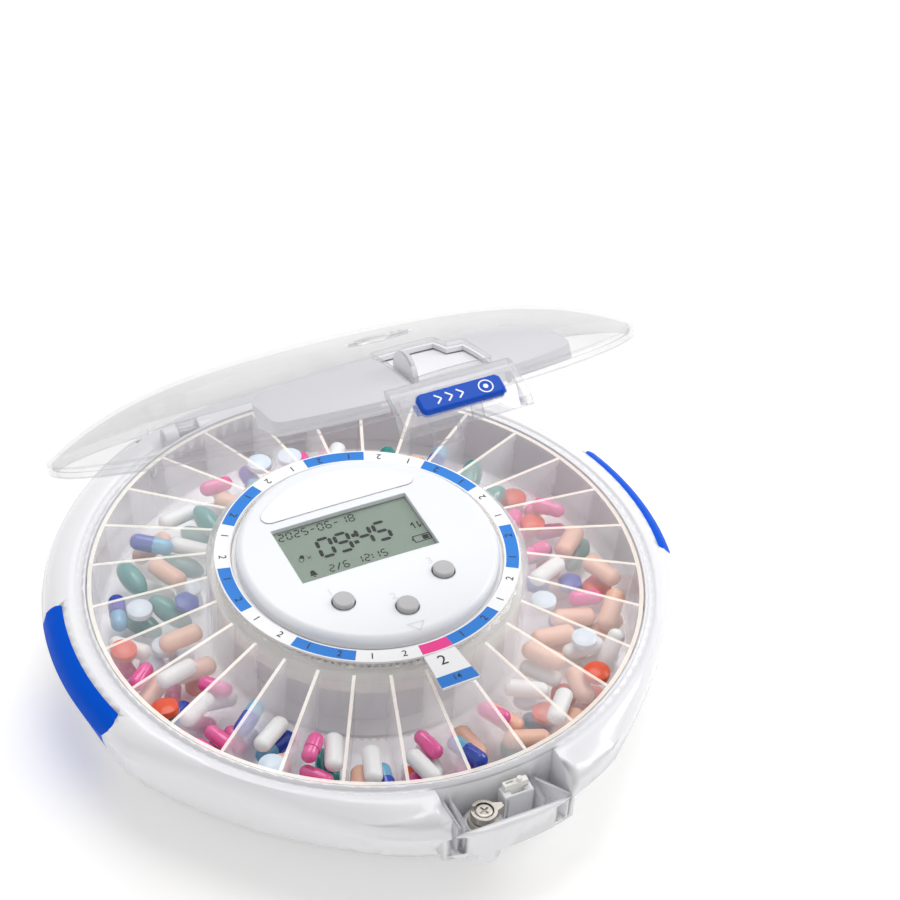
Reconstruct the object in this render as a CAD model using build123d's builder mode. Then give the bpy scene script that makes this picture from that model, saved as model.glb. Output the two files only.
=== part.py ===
"""Automatic pill dispenser with a turning tray of dose compartments, its clear lid standing open.

Frame: millimetres, +Z up, the front (lock bay) towards -Y, origin on the table under the tray's axis.
"""
import os
import random
from math import atan2, cos, degrees, hypot, pi, radians, sin

from build123d import *

os.makedirs("parts", exist_ok=True)

# Tray and dosage ring
COMPARTMENTS = 29
PITCH = 360 / COMPARTMENTS
HOME_EDGE = -94.4  # direction of the home compartment's left divider, degrees
RING_OUTER = 55.0
RING_INNER = 49.35
RING_TOP = 54.0
CARD = 0.9  # thickness of the ring and its tab
TAB_REACH = 71.5
TRAY_FLOOR = 16.0
TRAY_RIM = 42.5
TRAY_HUB = 58.0
HUB_WALL = 1.4
TRAY_RADIUS = 100.5
TRAY_TAPER = 2.3  # how far the tray's outer wall leans out over its height
TRAY_WALL = 1.5
DIVIDER = 1.2
DIVIDER_HUB_TOP = 50.4
FLOOR_SHEET = 1.2

# Body: half sizes of its outline at four levels
BASE_Z = 1.0
BELLY_Z = 13.0
WAIST_Z = 34.0
RIM_Z = 43.0
SHELL = 2.2
RIM_BORE = 101.1
RIM_RADIUS = 107.5
NOSE = 120.0
SIDE = 115.5

# Lid hinge: a line along X behind the tray, the lid turned up from closed by this angle
HINGE_Y = 103.0
HINGE_Z = 39.0
LID_OPEN = 38.0
PIN = 1.5
RUNNING = 0.05
KNUCKLE = 3.4
KNUCKLE_X = (25.0, 33.0)

# Lid, given in its closed position
LID_RADIUS = 105.6
LID_RISE = 18.5
LID_EDGE_Z = 47.0
LID_FOOT_Z = 43.3
LID_CURVE = 3.5
LID_SHEET = 1.8

# Centre
FACE_RADIUS = 47.4
FACE_TOP = 58.0
FACE_SHEET = 1.8
COLUMN = 46.6
COLUMN_WALL = 2.0
BOARD_Z = 47.5
BOARD_SHEET = 1.6
WINDOW = (53.4, 29.1)
WINDOW_AT = (-2.8, 5.3)
BUTTONS = ((-20.1, -23.2), (-0.4, -33.8), (19.0, -22.7))
BUTTON_RADIUS = 3.9

# Drive
MODULE = 0.8
RING_TEETH = 120
PINION_TEETH = 15
PINION_AT = (0.0, MODULE * (RING_TEETH - PINION_TEETH) / 2)
GEAR_Z = (40.0, 45.0)

# Front bay with the key lock and the catch
BAY_HALF = 22.5
BAY_BACK = 104.0
BAY_FRONT = 117.0
BAY_FLOOR = 24.0
BAY_LIP = 35.0
LOCK_AT = (-8.0, -111.3)
CATCH = (0.0, 11.0, -110.9, -105.8)  # sides and depth of the catch tower
CATCH_TOP = 37.0

# Power inlet: its x, its height, its barrel and how far back its mouth lies
JACK_AT = (40.0, 8.4)
JACK_RADIUS = 3.9
JACK_MOUTH = 96.0

# Floor pan and bottom
PAN_Z = (13.2, 14.7)
COVER_Z = (1.2, 3.0)
CELL_RADIUS = 7.2
CELL_LENGTH = 50.0
CELLS_Y = -4.4


def save(part, name):
    """Label a finished piece and write it."""
    part.label = name
    export_step(part, f"parts/{name}.step")


def polar(radius, angle):
    """Point at a radius and a direction in degrees."""
    return (radius * cos(radians(angle)), radius * sin(radians(angle)))


def sector(inner, outer, start, stop, low, high):
    """Piece of a flat ring between two directions and two heights."""
    middle = (start + stop) / 2
    with BuildPart() as piece:
        with BuildSketch(Plane.XY.offset(low)):
            with BuildLine():
                ThreePointArc(polar(outer, start), polar(outer, middle), polar(outer, stop))
                Line(polar(outer, stop), polar(inner, stop))
                ThreePointArc(polar(inner, stop), polar(inner, middle), polar(inner, start))
                Line(polar(inner, start), polar(outer, start))
            make_face()
        extrude(amount=high - low)
    return piece.part


# ---------------------------------------------------------------- body outline and its solid form
# Each level: height, side radius, radius at the middle of the flats, front corner, reach to front and back.
LEVELS = (
    (BASE_Z, 97.0, 92.0, (35.0, 86.0), 98.0),
    (BELLY_Z, 107.8, 102.4, (40.5, 97.5), 109.5),
    (WAIST_Z, SIDE, 109.6, (44.0, 108.0), NOSE),
    (38.6, 114.3, 109.4, (43.4, 106.4), 117.6),
    (41.4, 111.6, 108.6, (42.2, 103.2), 112.6),
    (RIM_Z, RIM_RADIUS, RIM_RADIUS, (40.7, 99.5), RIM_RADIUS),
)
FLAT_START = -20.0
FLAT_MIDDLE = -46.0


def outline(height, side, flat, corner, nose, inset):
    """Footprint at one level: sides that swell towards the back, flatter front quarters, a front nose."""
    reach = hypot(*corner) - inset
    turn = degrees(atan2(corner[1], corner[0]))
    side, flat, nose = side - inset, flat - inset, nose - inset
    front_right, front_left = polar(reach, -turn), polar(reach, 180 + turn)
    half_way = (turn + FLAT_START) / 2
    swell, full_swell = [side + (nose - side) * sin(radians(angle)) for angle in (half_way, turn)]
    back_right, back_left = polar(full_swell, turn), polar(full_swell, 180 - turn)
    flat_right, flat_left = polar(side, FLAT_START), polar(side, 180 - FLAT_START)
    with BuildSketch(Plane.XY.offset(height)) as footprint:
        with BuildLine():
            ThreePointArc(front_left, (0, -nose), front_right)
            ThreePointArc(front_right, polar(flat, FLAT_MIDDLE), flat_right)
            ThreePointArc(flat_right, polar(swell, half_way), back_right)
            ThreePointArc(back_right, (0, nose), back_left)
            ThreePointArc(back_left, polar(swell, 180 - half_way), flat_left)
            ThreePointArc(flat_left, polar(flat, 180 - FLAT_MIDDLE), front_left)
        make_face()
    return footprint.sketch


def body_form(inset, top_drop=0.0):
    """The body's outer form as one solid: the inset moves its walls in, the drop lowers its round shoulder."""
    sections = []
    for height, *sizes in LEVELS:
        drop = top_drop if height > WAIST_Z else 0.0
        sections.append(outline(height - drop, *sizes, inset))
    with BuildPart() as form:
        loft(sections=sections, ruled=True)
    return form.part


GRIP_SHEET = 1.3
outer_form = body_form(0)
grip_bed = body_form(GRIP_SHEET)
cavity = body_form(SHELL, SHELL)

# ---------------------------------------------------------------- blue side grips, inlaid in the shell
# The grip's side view: a band from the rim to under the belly, its front end slanting back downwards.
GRIP_VIEW = ((31.5, 42.2), (30.0, 36.0), (27.5, 11.5), (-14.8, 11.5), (-30.5, 38.0), (-30.9, 42.2))


def side_grip(sign):
    """Grip on the right (sign 1) or the left (sign -1)."""
    with BuildPart() as grip:
        with BuildSketch(Plane.YZ.offset(sign * 85.0)) as view:
            with BuildLine():
                Polyline(*GRIP_VIEW, close=True)
            make_face()
            fillet(view.vertices(), radius=2.8)
        extrude(amount=sign * 40.0)
        add(outer_form, mode=Mode.INTERSECT)
        add(grip_bed, mode=Mode.SUBTRACT)
    return grip.part


right_grip = side_grip(1)
left_grip = side_grip(-1)
save(right_grip, "right_grip")
save(left_grip, "left_grip")

# ---------------------------------------------------------------- body shell
SHOULDER_END = 53.0
SHOULDER_Z = 42.0
SHOULDER_SLOPE = 8.5
HINGE_SHELF = 35.0
HINGE_CUT = 46.0
GROOVE = (102.3, 104.9, 1.1)
LUG_X = (21.85, 36.15)
LUG_WIDTH = 5.7
LOCK_BOSS = 6.9
LOCK_BORE = 5.3
LOCK_BOSS_Z = (16.0, 29.9)
RIB = 1.2

# Raised shoulders either side of the front bay, sinking away from it along the front quarters.
with BuildPart() as shoulders:
    with BuildSketch(Plane.XY.offset(WAIST_Z)):
        add(outline(*LEVELS[2], 1.2))
        Circle(RIM_BORE + 2, mode=Mode.SUBTRACT)
        with Locations((0, -NOSE)):
            Rectangle(2 * SHOULDER_END, 3 * BAY_HALF, mode=Mode.INTERSECT)
    extrude(amount=SHOULDER_Z - WAIST_Z)
    for sign in (-1, 1):
        slope = Plane(origin=(sign * BAY_HALF, 0, SHOULDER_Z), z_dir=(sign * sin(radians(SHOULDER_SLOPE)), 0,
                                                                      cos(radians(SHOULDER_SLOPE))))
        with BuildSketch(slope):
            Rectangle(200, 300)
        extrude(amount=20, mode=Mode.SUBTRACT)

with BuildPart() as body_shell:
    add(outer_form)
    add(shoulders.part)
    add(cavity, mode=Mode.SUBTRACT)
    # solid stock for the front bay, then the bay itself
    with BuildSketch(Plane.XY.offset(BAY_FLOOR - SHELL)) as bay_stock:
        with Locations((0, -NOSE)):
            Rectangle(2 * (BAY_HALF + SHELL), 40)
        add(outline(*LEVELS[2], 1.2), mode=Mode.INTERSECT)
        Circle(RIM_BORE + 1.4, mode=Mode.SUBTRACT)
    extrude(amount=SHOULDER_Z - BAY_FLOOR + SHELL - 1.0)
    with BuildSketch(Plane.XY.offset(BAY_FLOOR)):
        with Locations((0, -BAY_FRONT + 20)):
            Rectangle(2 * BAY_HALF, 40)
        Circle(BAY_BACK, mode=Mode.SUBTRACT)
    extrude(amount=30, mode=Mode.SUBTRACT)
    with BuildSketch(Plane.XY.offset(BAY_LIP)):
        with Locations((0, -NOSE)):
            Rectangle(2 * BAY_HALF, 2 * (NOSE - BAY_BACK - 1))
        Circle(BAY_BACK, mode=Mode.SUBTRACT)
    extrude(amount=20, mode=Mode.SUBTRACT)
    # ribs across the bay and the boss that holds the lock
    with BuildSketch(Plane.XY.offset(BAY_FLOOR)) as ribs:
        with Locations((-19.0, -108.5), (-16.4, -108.5), (13.6, -108.5)):
            Rectangle(RIB, 13)
        with BuildLine() as brace:
            Line((14.2, -105.0), (21.8, -116.0))
        trace(line_width=RIB)
        Circle(BAY_BACK - 0.2, mode=Mode.SUBTRACT)
    extrude(amount=BAY_LIP - BAY_FLOOR + 0.2)
    with Locations((*LOCK_AT, sum(LOCK_BOSS_Z) / 2)):
        Cylinder(LOCK_BOSS, LOCK_BOSS_Z[1] - LOCK_BOSS_Z[0])
    with Locations((*LOCK_AT, 20.0)):
        Cylinder(LOCK_BORE, 60.0, mode=Mode.SUBTRACT)
    with BuildSketch(Plane.XY.offset(BELLY_Z + 4)):
        Circle(RIM_BORE)
    extrude(amount=60, mode=Mode.SUBTRACT)
    # groove in the rim that takes the lid's skirt
    with BuildSketch(Plane.XY.offset(RIM_Z - GROOVE[2])):
        Circle(GROOVE[1])
        Circle(GROOVE[0], mode=Mode.SUBTRACT)
    extrude(amount=GROOVE[2], mode=Mode.SUBTRACT)
    # recess at the back for the hinge: a shelf, the wall in front of it and four round lugs
    with BuildSketch(Plane.XY.offset(HINGE_SHELF)):
        with Locations((0, 150)):
            Rectangle(2 * HINGE_CUT, 130)
        Circle(GROOVE[0], mode=Mode.SUBTRACT)
    extrude(amount=20, mode=Mode.SUBTRACT)
    with BuildSketch(Plane.XY.offset(HINGE_SHELF - SHELL)):
        add(outline(*LEVELS[2], 1.0))
        Circle(RIM_BORE, mode=Mode.SUBTRACT)
        with Locations((0, 110)):
            Rectangle(2 * HINGE_CUT + 6, 60, mode=Mode.INTERSECT)
    extrude(amount=SHELL)
    with BuildSketch(Plane.XY.offset(HINGE_SHELF)):
        Circle(GROOVE[0])
        Circle(RIM_BORE, mode=Mode.SUBTRACT)
        with Locations((0, 110)):
            Rectangle(2 * HINGE_CUT + 4, 60, mode=Mode.INTERSECT)
    extrude(amount=RIM_Z - HINGE_SHELF)
    for sign in (-1, 1):
        for x in LUG_X:
            with Locations(Plane(origin=(sign * x, HINGE_Y, HINGE_Z), z_dir=(1, 0, 0))):
                Cylinder(KNUCKLE, LUG_WIDTH)
            with Locations((sign * x, HINGE_Y, (HINGE_SHELF + HINGE_Z) / 2 - 0.2)):
                Box(LUG_WIDTH, 2 * KNUCKLE, HINGE_Z - HINGE_SHELF + 0.4)
    with BuildSketch(Plane.XY.offset(HINGE_SHELF - 5)):
        Circle(RIM_BORE)
    extrude(amount=30, mode=Mode.SUBTRACT)
    with Locations(Plane(origin=(0, HINGE_Y, HINGE_Z), z_dir=(1, 0, 0))):
        Cylinder(PIN, 100, mode=Mode.SUBTRACT)
    # inlet hole at the back
    with Locations(Plane(origin=(JACK_AT[0], 96, JACK_AT[1]), z_dir=(0, 1, 0))):
        Cylinder(JACK_RADIUS + 0.2, 30, mode=Mode.SUBTRACT)
    add(right_grip, mode=Mode.SUBTRACT)
    add(left_grip, mode=Mode.SUBTRACT)
save(body_shell.part, "body_shell")

# ---------------------------------------------------------------- floor pan, bottom cover and what they hold
PAN_RIBS = ((60.0, 61.5), (92.5, 94.0))
BOSS_AT = [polar(78.0, angle) for angle in (15, 165, 205, 335)]
BOSS = 3.6
SCREW = 1.2
SCREW_HEAD = 2.8
FEET_AT = [(x, y) for x in (-56, 56) for y in (-56, 60)]
FOOT = 6.5
WELL = (2 * 4 * CELL_RADIUS + 1.0, CELL_LENGTH + 1.2)
WELL_WALL = 1.2
WELL_TOP = 16.0
DOOR_GAP = 0.25

with BuildPart() as tray_pan:
    with BuildSketch(Plane.XY.offset(PAN_Z[0])):
        add(outline(*LEVELS[1], SHELL + 0.15))
        Circle(COLUMN - COLUMN_WALL, mode=Mode.SUBTRACT)
    extrude(amount=PAN_Z[1] - PAN_Z[0])
    for inner, outer in PAN_RIBS:
        with BuildSketch(Plane.XY.offset(PAN_Z[1])):
            Circle(outer)
            Circle(inner, mode=Mode.SUBTRACT)
        extrude(amount=TRAY_FLOOR - RUNNING - PAN_Z[1])
    with BuildSketch(Plane.XY.offset(COVER_Z[1])):
        with Locations(*BOSS_AT):
            Circle(BOSS)
    extrude(amount=PAN_Z[0] - COVER_Z[1])
    with BuildSketch(Plane.XY.offset(COVER_Z[1])):
        with Locations(*BOSS_AT):
            Circle(SCREW + 0.05)
    extrude(amount=8, mode=Mode.SUBTRACT)
save(tray_pan.part, "tray_pan")

with BuildPart() as bottom_cover:
    with BuildSketch(Plane.XY.offset(COVER_Z[0])):
        add(outline(*LEVELS[0], SHELL + 0.2))
    extrude(amount=COVER_Z[1] - COVER_Z[0])
    with BuildSketch(Plane.XY.offset(COVER_Z[1])):
        with Locations((0, CELLS_Y)):
            Rectangle(WELL[0] + 2 * WELL_WALL, WELL[1] + 2 * WELL_WALL)
            Rectangle(*WELL, mode=Mode.SUBTRACT)
    extrude(amount=WELL_TOP - COVER_Z[1])
    with Locations((0, CELLS_Y, COVER_Z[0])):
        Box(*WELL, 8, mode=Mode.SUBTRACT)
    with BuildSketch(Plane.XY.offset(COVER_Z[0])):
        with Locations(*FEET_AT):
            Circle(FOOT + 0.1)
    extrude(amount=0.5, mode=Mode.SUBTRACT)
    with BuildSketch(Plane.XY.offset(COVER_Z[0])):
        with Locations(*BOSS_AT):
            Circle(SCREW + 0.3)
    extrude(amount=5, mode=Mode.SUBTRACT)
    with BuildSketch(Plane.XY.offset(COVER_Z[0])):
        with Locations(*BOSS_AT):
            Circle(SCREW_HEAD + 0.2)
    extrude(amount=1.0, mode=Mode.SUBTRACT)
save(bottom_cover.part, "bottom_cover")

with BuildPart() as battery_door:
    with BuildSketch(Plane.XY.offset(COVER_Z[0])) as door_plan:
        with Locations((0, CELLS_Y)):
            Rectangle(WELL[0] - 2 * DOOR_GAP, WELL[1] - 2 * DOOR_GAP)
        fillet(door_plan.vertices(), radius=0.6)
    extrude(amount=COVER_Z[1] - COVER_Z[0])
    for step in range(5):
        with Locations((0, CELLS_Y + WELL[1] / 2 - 5 - 1.6 * step, COVER_Z[0])):
            Box(18, 0.8, 0.8, mode=Mode.SUBTRACT)
save(battery_door.part, "battery_door")

with BuildPart() as cover_screws:
    with BuildSketch(Plane.XY.offset(COVER_Z[0] + 0.1)):
        with Locations(*BOSS_AT):
            Circle(SCREW_HEAD)
    extrude(amount=0.9)
    with BuildSketch(Plane.XY.offset(COVER_Z[0] + 1.0)):
        with Locations(*BOSS_AT):
            Circle(SCREW)
    extrude(amount=8.5)
    with BuildSketch(Plane.XY.offset(COVER_Z[0] + 0.1)):
        with Locations(*BOSS_AT):
            Rectangle(3.4, 0.7)
            Rectangle(0.7, 3.4)
    extrude(amount=0.6, mode=Mode.SUBTRACT)
save(cover_screws.part, "cover_screws")

with BuildPart() as feet:
    with BuildSketch():
        with Locations(*FEET_AT):
            Circle(FOOT)
    extrude(amount=COVER_Z[0] + 0.5)
    chamfer(feet.edges().group_by(Axis.Z)[0], length=0.4)
save(feet.part, "feet")

CELL_X = [(index - 1.5) * (2 * CELL_RADIUS + 0.15) for index in range(4)]
CELL_Z = COVER_Z[1] + 0.6 + CELL_RADIUS
with BuildPart() as battery_cells:
    for index, x in enumerate(CELL_X):
        nub = 1 if index % 2 else -1
        with Locations(Plane(origin=(x, CELLS_Y - nub * 0.4, CELL_Z), z_dir=(0, 1, 0))):
            Cylinder(CELL_RADIUS, CELL_LENGTH - 2.4)
        with Locations(Plane(origin=(x, CELLS_Y + nub * 0.4, CELL_Z), z_dir=(0, 1, 0))):
            Cylinder(2.7, CELL_LENGTH - 2.4)
save(battery_cells.part, "battery_cells")

with BuildPart() as battery_contacts:
    for x in CELL_X:
        for end in (-1, 1):
            with Locations((x, CELLS_Y + end * (WELL[1] / 2 - 0.3), CELL_Z)):
                Box(9.5, 0.4, 9.5)
save(battery_contacts.part, "battery_contacts")

with BuildPart() as dc_jack:
    with Locations((JACK_AT[0], JACK_MOUTH - 16.5, JACK_AT[1])):
        Box(9.4, 12.0, 9.2)
    with Locations(Plane(origin=(JACK_AT[0], JACK_MOUTH - 6.0, JACK_AT[1]), z_dir=(0, 1, 0))):
        Cylinder(JACK_RADIUS, 12.0)
    with Locations(Plane(origin=(JACK_AT[0], JACK_MOUTH - 4.5, JACK_AT[1]), z_dir=(0, 1, 0))):
        Cylinder(2.75, 9.0, mode=Mode.SUBTRACT)
    with Locations(Plane(origin=(JACK_AT[0], JACK_MOUTH - 5.5, JACK_AT[1]), z_dir=(0, 1, 0))):
        Cylinder(0.9, 9.0)
save(dc_jack.part, "dc_jack")

with BuildPart() as hinge_pins:
    for sign in (-1, 1):
        with Locations(Plane(origin=(sign * 29.0, HINGE_Y, HINGE_Z), z_dir=(1, 0, 0))):
            Cylinder(PIN, 20.6)
save(hinge_pins.part, "hinge_pins")

# ---------------------------------------------------------------- hub column and drive
COLUMN_TOP = 51.2
SEAT = (48.9, 52.2)
WINDOW_WIDTH = 15.0
MOTOR_RADIUS = 9.6
MOTOR_Y = 34.4
MOTOR_TOP = 35.0
SHAFT = 1.5
BACKLASH = 0.3
FLANK = 20.0

with BuildPart() as hub_column:
    with BuildSketch(Plane.XY.offset(PAN_Z[1])):
        Circle(54.0)
        Circle(COLUMN - COLUMN_WALL, mode=Mode.SUBTRACT)
    extrude(amount=1.2)
    with BuildSketch(Plane.XY.offset(PAN_Z[1])):
        Circle(COLUMN)
        Circle(COLUMN - COLUMN_WALL, mode=Mode.SUBTRACT)
    extrude(amount=COLUMN_TOP - PAN_Z[1])
    with BuildSketch(Plane.XY.offset(COLUMN_TOP)):
        Circle(SEAT[0])
        Circle(COLUMN - COLUMN_WALL, mode=Mode.SUBTRACT)
    extrude(amount=SEAT[1] - COLUMN_TOP)
    with BuildSketch(Plane.XY.offset(BOARD_Z - 1.5)):
        Circle(COLUMN)
        Circle(COLUMN - COLUMN_WALL - 2, mode=Mode.SUBTRACT)
        with Locations((0, COLUMN)):
            Rectangle(WINDOW_WIDTH, 20, mode=Mode.SUBTRACT)
    extrude(amount=1.4)
    with Locations((0, COLUMN, (GEAR_Z[0] + GEAR_Z[1]) / 2)):
        Box(WINDOW_WIDTH, 20, GEAR_Z[1] - GEAR_Z[0] + 2, mode=Mode.SUBTRACT)
save(hub_column.part, "hub_column")

with BuildPart() as gear_motor:
    with BuildSketch(Plane.XY.offset(PAN_Z[1])):
        with Locations((0, MOTOR_Y)):
            Circle(MOTOR_RADIUS)
    extrude(amount=MOTOR_TOP - PAN_Z[1])
    with BuildSketch(Plane.XY.offset(MOTOR_TOP)):
        with Locations((0, MOTOR_Y)):
            Rectangle(27, 6)
            Circle(MOTOR_RADIUS)
    extrude(amount=0.8)
    with BuildSketch(Plane.XY.offset(MOTOR_TOP)):
        with Locations(PINION_AT):
            Circle(SHAFT)
    extrude(amount=GEAR_Z[1] + 1 - MOTOR_TOP)
    with BuildSketch(Plane.XY.offset(MOTOR_TOP)):
        with Locations(PINION_AT):
            Circle(2.5)
    extrude(amount=2.5)
save(gear_motor.part, "gear_motor")


def teeth(count, sign, first):
    """Outline of straight-flanked teeth; sign 1 for teeth pointing out, -1 for teeth pointing in."""
    pitch_radius = MODULE * count / 2
    tip, root = pitch_radius + sign * 0.7 * MODULE, pitch_radius - sign * MODULE
    half = (pi * MODULE / 2 - BACKLASH / 2) / 2
    lean = sin(radians(FLANK)) / cos(radians(FLANK))
    half_tip, half_root = half - 0.7 * MODULE * lean, half + MODULE * lean
    points = []
    for index in range(count):
        middle = first + index * 360 / count
        for radius, side in ((root, -half_root), (tip, -half_tip), (tip, half_tip), (root, half_root)):
            points.append(polar(radius, middle + degrees(side / radius)))
    return points


with BuildPart() as drive_pinion:
    with BuildSketch(Plane(origin=(*PINION_AT, GEAR_Z[0] + 0.2), x_dir=(1, 0, 0), z_dir=(0, 0, 1))):
        with BuildLine():
            Polyline(*teeth(PINION_TEETH, 1, 90.0), close=True)
        make_face()
        Circle(SHAFT + RUNNING, mode=Mode.SUBTRACT)
    extrude(amount=GEAR_Z[1] - GEAR_Z[0] - 0.4)
save(drive_pinion.part, "drive_pinion")

with BuildPart() as drive_ring:
    with BuildSketch(Plane.XY.offset(GEAR_Z[0])):
        Circle(TRAY_HUB - HUB_WALL - 0.1)
        with BuildLine():
            Polyline(*teeth(RING_TEETH, -1, 90.0 + 180 / RING_TEETH), close=True)
        make_face(mode=Mode.SUBTRACT)
    extrude(amount=GEAR_Z[1] - GEAR_Z[0])
save(drive_ring.part, "drive_ring")

# ---------------------------------------------------------------- tray
FLOOR_TOP = TRAY_FLOOR + FLOOR_SHEET
TRAY_FOOT = TRAY_RADIUS - TRAY_TAPER
SEAT_DROP = 3.0  # the cream ledge round the dosage ring lies this far below it
HUB_BORE = TRAY_HUB - HUB_WALL
DIVIDER_ENDS = 0.06

with BuildPart() as tray_floor:
    with BuildSketch(Plane.XY.offset(TRAY_FLOOR)):
        Circle(TRAY_FOOT)
        Circle(HUB_BORE, mode=Mode.SUBTRACT)
    extrude(amount=FLOOR_SHEET)
save(tray_floor.part, "tray_floor")

with BuildPart() as tray_outer_wall:
    with BuildSketch(Plane.XZ):
        with BuildLine():
            Polyline((TRAY_FOOT - TRAY_WALL, FLOOR_TOP), (TRAY_FOOT, FLOOR_TOP), (TRAY_RADIUS, TRAY_RIM),
                     (TRAY_RADIUS - TRAY_WALL, TRAY_RIM), close=True)
        make_face()
    revolve(axis=Axis.Z)
save(tray_outer_wall.part, "tray_outer_wall")

LEDGE = RING_TOP - SEAT_DROP
SHELF = RING_TOP - CARD
with BuildPart() as tray_hub_wall:
    with BuildSketch(Plane.XZ):
        with BuildLine():
            Polyline((TRAY_HUB, FLOOR_TOP), (TRAY_HUB, LEDGE), (RING_OUTER, LEDGE), (RING_OUTER, SHELF),
                     (RING_INNER - 0.15, SHELF), (RING_INNER - 0.15, SHELF - 1.2),
                     (RING_OUTER - HUB_WALL, SHELF - 1.2), (RING_OUTER - HUB_WALL, LEDGE - HUB_WALL),
                     (HUB_BORE, LEDGE - HUB_WALL), (HUB_BORE, FLOOR_TOP), close=True)
        make_face()
    revolve(axis=Axis.Z)
save(tray_hub_wall.part, "tray_hub_wall")

with BuildPart() as divider:
    with BuildSketch(Plane.XZ):
        with BuildLine():
            Polyline((TRAY_HUB + DIVIDER_ENDS, FLOOR_TOP), (TRAY_FOOT - TRAY_WALL - DIVIDER_ENDS, FLOOR_TOP),
                     (TRAY_RADIUS - TRAY_WALL - DIVIDER_ENDS, TRAY_RIM), (TRAY_HUB + DIVIDER_ENDS,
                                                                          DIVIDER_HUB_TOP), close=True)
        make_face()
    extrude(amount=DIVIDER / 2, both=True)

with BuildPart() as tray_dividers:
    with PolarLocations(0, COMPARTMENTS, start_angle=HOME_EDGE):
        add(divider.part)
save(tray_dividers.part, "tray_dividers")

# ---------------------------------------------------------------- dosage ring with its printed fields and tab
PRINT = 0.3
HOME_MIDDLE = HOME_EDGE + PITCH / 2
TAB_BLUE = 66.0
TAB_HALF = (6.0, 7.2)


def tab_piece(near, far, low, high):
    """Part of the ring's tab, which widens away from the centre."""
    grow = (TAB_HALF[1] - TAB_HALF[0]) / (TAB_REACH - RING_OUTER)
    near_half = TAB_HALF[0] + grow * (near - RING_OUTER)
    far_half = TAB_HALF[0] + grow * (far - RING_OUTER)
    turn = radians(HOME_MIDDLE)
    plane = Plane(origin=(0, 0, low), x_dir=(cos(turn), sin(turn), 0), z_dir=(0, 0, 1))
    with BuildPart() as piece:
        with BuildSketch(plane):
            with BuildLine():
                Polyline((near, -near_half), (far, -far_half), (far, far_half), (near, near_half), close=True)
            make_face()
        extrude(amount=high - low)
    return piece.part


blue_fields = [sector(RING_INNER + 0.5, RING_OUTER - 0.5, HOME_EDGE + PITCH * (4 * index + 1),
                      HOME_EDGE + PITCH * (4 * index + 3), RING_TOP - PRINT, RING_TOP) for index in range(7)]
home_field = sector(RING_INNER + 0.5, RING_OUTER - 0.5, HOME_EDGE, HOME_EDGE + PITCH, RING_TOP - PRINT, RING_TOP)
tab_end = tab_piece(TAB_BLUE, TAB_REACH - 0.4, RING_TOP - PRINT, RING_TOP)
tab_card = tab_piece(RING_OUTER + 0.2, TAB_REACH, SHELF, RING_TOP)

with BuildPart() as dosage_ring:
    with BuildSketch(Plane.XY.offset(SHELF)):
        Circle(RING_OUTER)
        Circle(RING_INNER, mode=Mode.SUBTRACT)
    extrude(amount=CARD)
    for field in (*blue_fields, home_field):
        add(field, mode=Mode.SUBTRACT)
save(dosage_ring.part, "dosage_ring")

with BuildPart() as dosage_tab:
    add(tab_card)
    add(tab_end, mode=Mode.SUBTRACT)
save(dosage_tab.part, "dosage_tab")

with BuildPart() as dosage_fields_blue:
    for field in (*blue_fields, tab_end):
        add(field)
save(dosage_fields_blue.part, "dosage_fields_blue")
save(home_field, "dosage_field_home")

# ---------------------------------------------------------------- face plate, display, buttons, electronics
BEZEL = ((FACE_RADIUS, SEAT[1] + 0.1), (FACE_RADIUS, 54.8), (FACE_RADIUS - 0.8, 56.4), (44.0, 57.3))
BUTTON_TOP = 59.3
BUTTON_LOW = 50.4
BUTTON_FLANGE = (4.9, 54.2, 55.0)
LENS_TOP = 57.0
LENS_GAP = 0.2
MODULE_TOP = 55.5

with BuildPart() as face_plate:
    with BuildSketch(Plane.XZ):
        with BuildLine():
            Polyline((0, FACE_TOP - FACE_SHEET), (0, FACE_TOP), BEZEL[3])
            ThreePointArc(BEZEL[3], BEZEL[2], BEZEL[1])
            Polyline(BEZEL[1], BEZEL[0], (BEZEL[0][0] - FACE_SHEET, BEZEL[0][1]),
                     (BEZEL[3][0], BEZEL[3][1] - FACE_SHEET), (0, FACE_TOP - FACE_SHEET))
        make_face()
    revolve(axis=Axis.Z)
    with BuildSketch(Plane.XY.offset(SEAT[1] - 1)):
        with Locations(WINDOW_AT):
            Rectangle(*WINDOW)
        with Locations(*BUTTONS):
            Circle(BUTTON_RADIUS + 0.4)
    extrude(amount=10, mode=Mode.SUBTRACT)
save(face_plate.part, "face_plate")

with BuildPart() as display_lens:
    with BuildSketch(Plane.XY.offset(MODULE_TOP + 0.1)) as pane:
        with Locations(WINDOW_AT):
            Rectangle(WINDOW[0] - 2 * LENS_GAP, WINDOW[1] - 2 * LENS_GAP)
        fillet(pane.vertices(), radius=0.8)
    extrude(amount=LENS_TOP - MODULE_TOP - 0.1)
save(display_lens.part, "display_lens")

with BuildPart() as display_module:
    with BuildSketch(Plane.XY.offset(BOARD_Z + BOARD_SHEET)):
        with Locations(WINDOW_AT):
            Rectangle(WINDOW[0] + 4, WINDOW[1] + 4)
    extrude(amount=MODULE_TOP - 2.0 - BOARD_Z - BOARD_SHEET)
    with BuildSketch(Plane.XY.offset(MODULE_TOP - 2.0)):
        with Locations(WINDOW_AT):
            Rectangle(WINDOW[0] + 1, WINDOW[1] + 1)
    extrude(amount=2.0)
save(display_module.part, "display_module")

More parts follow.
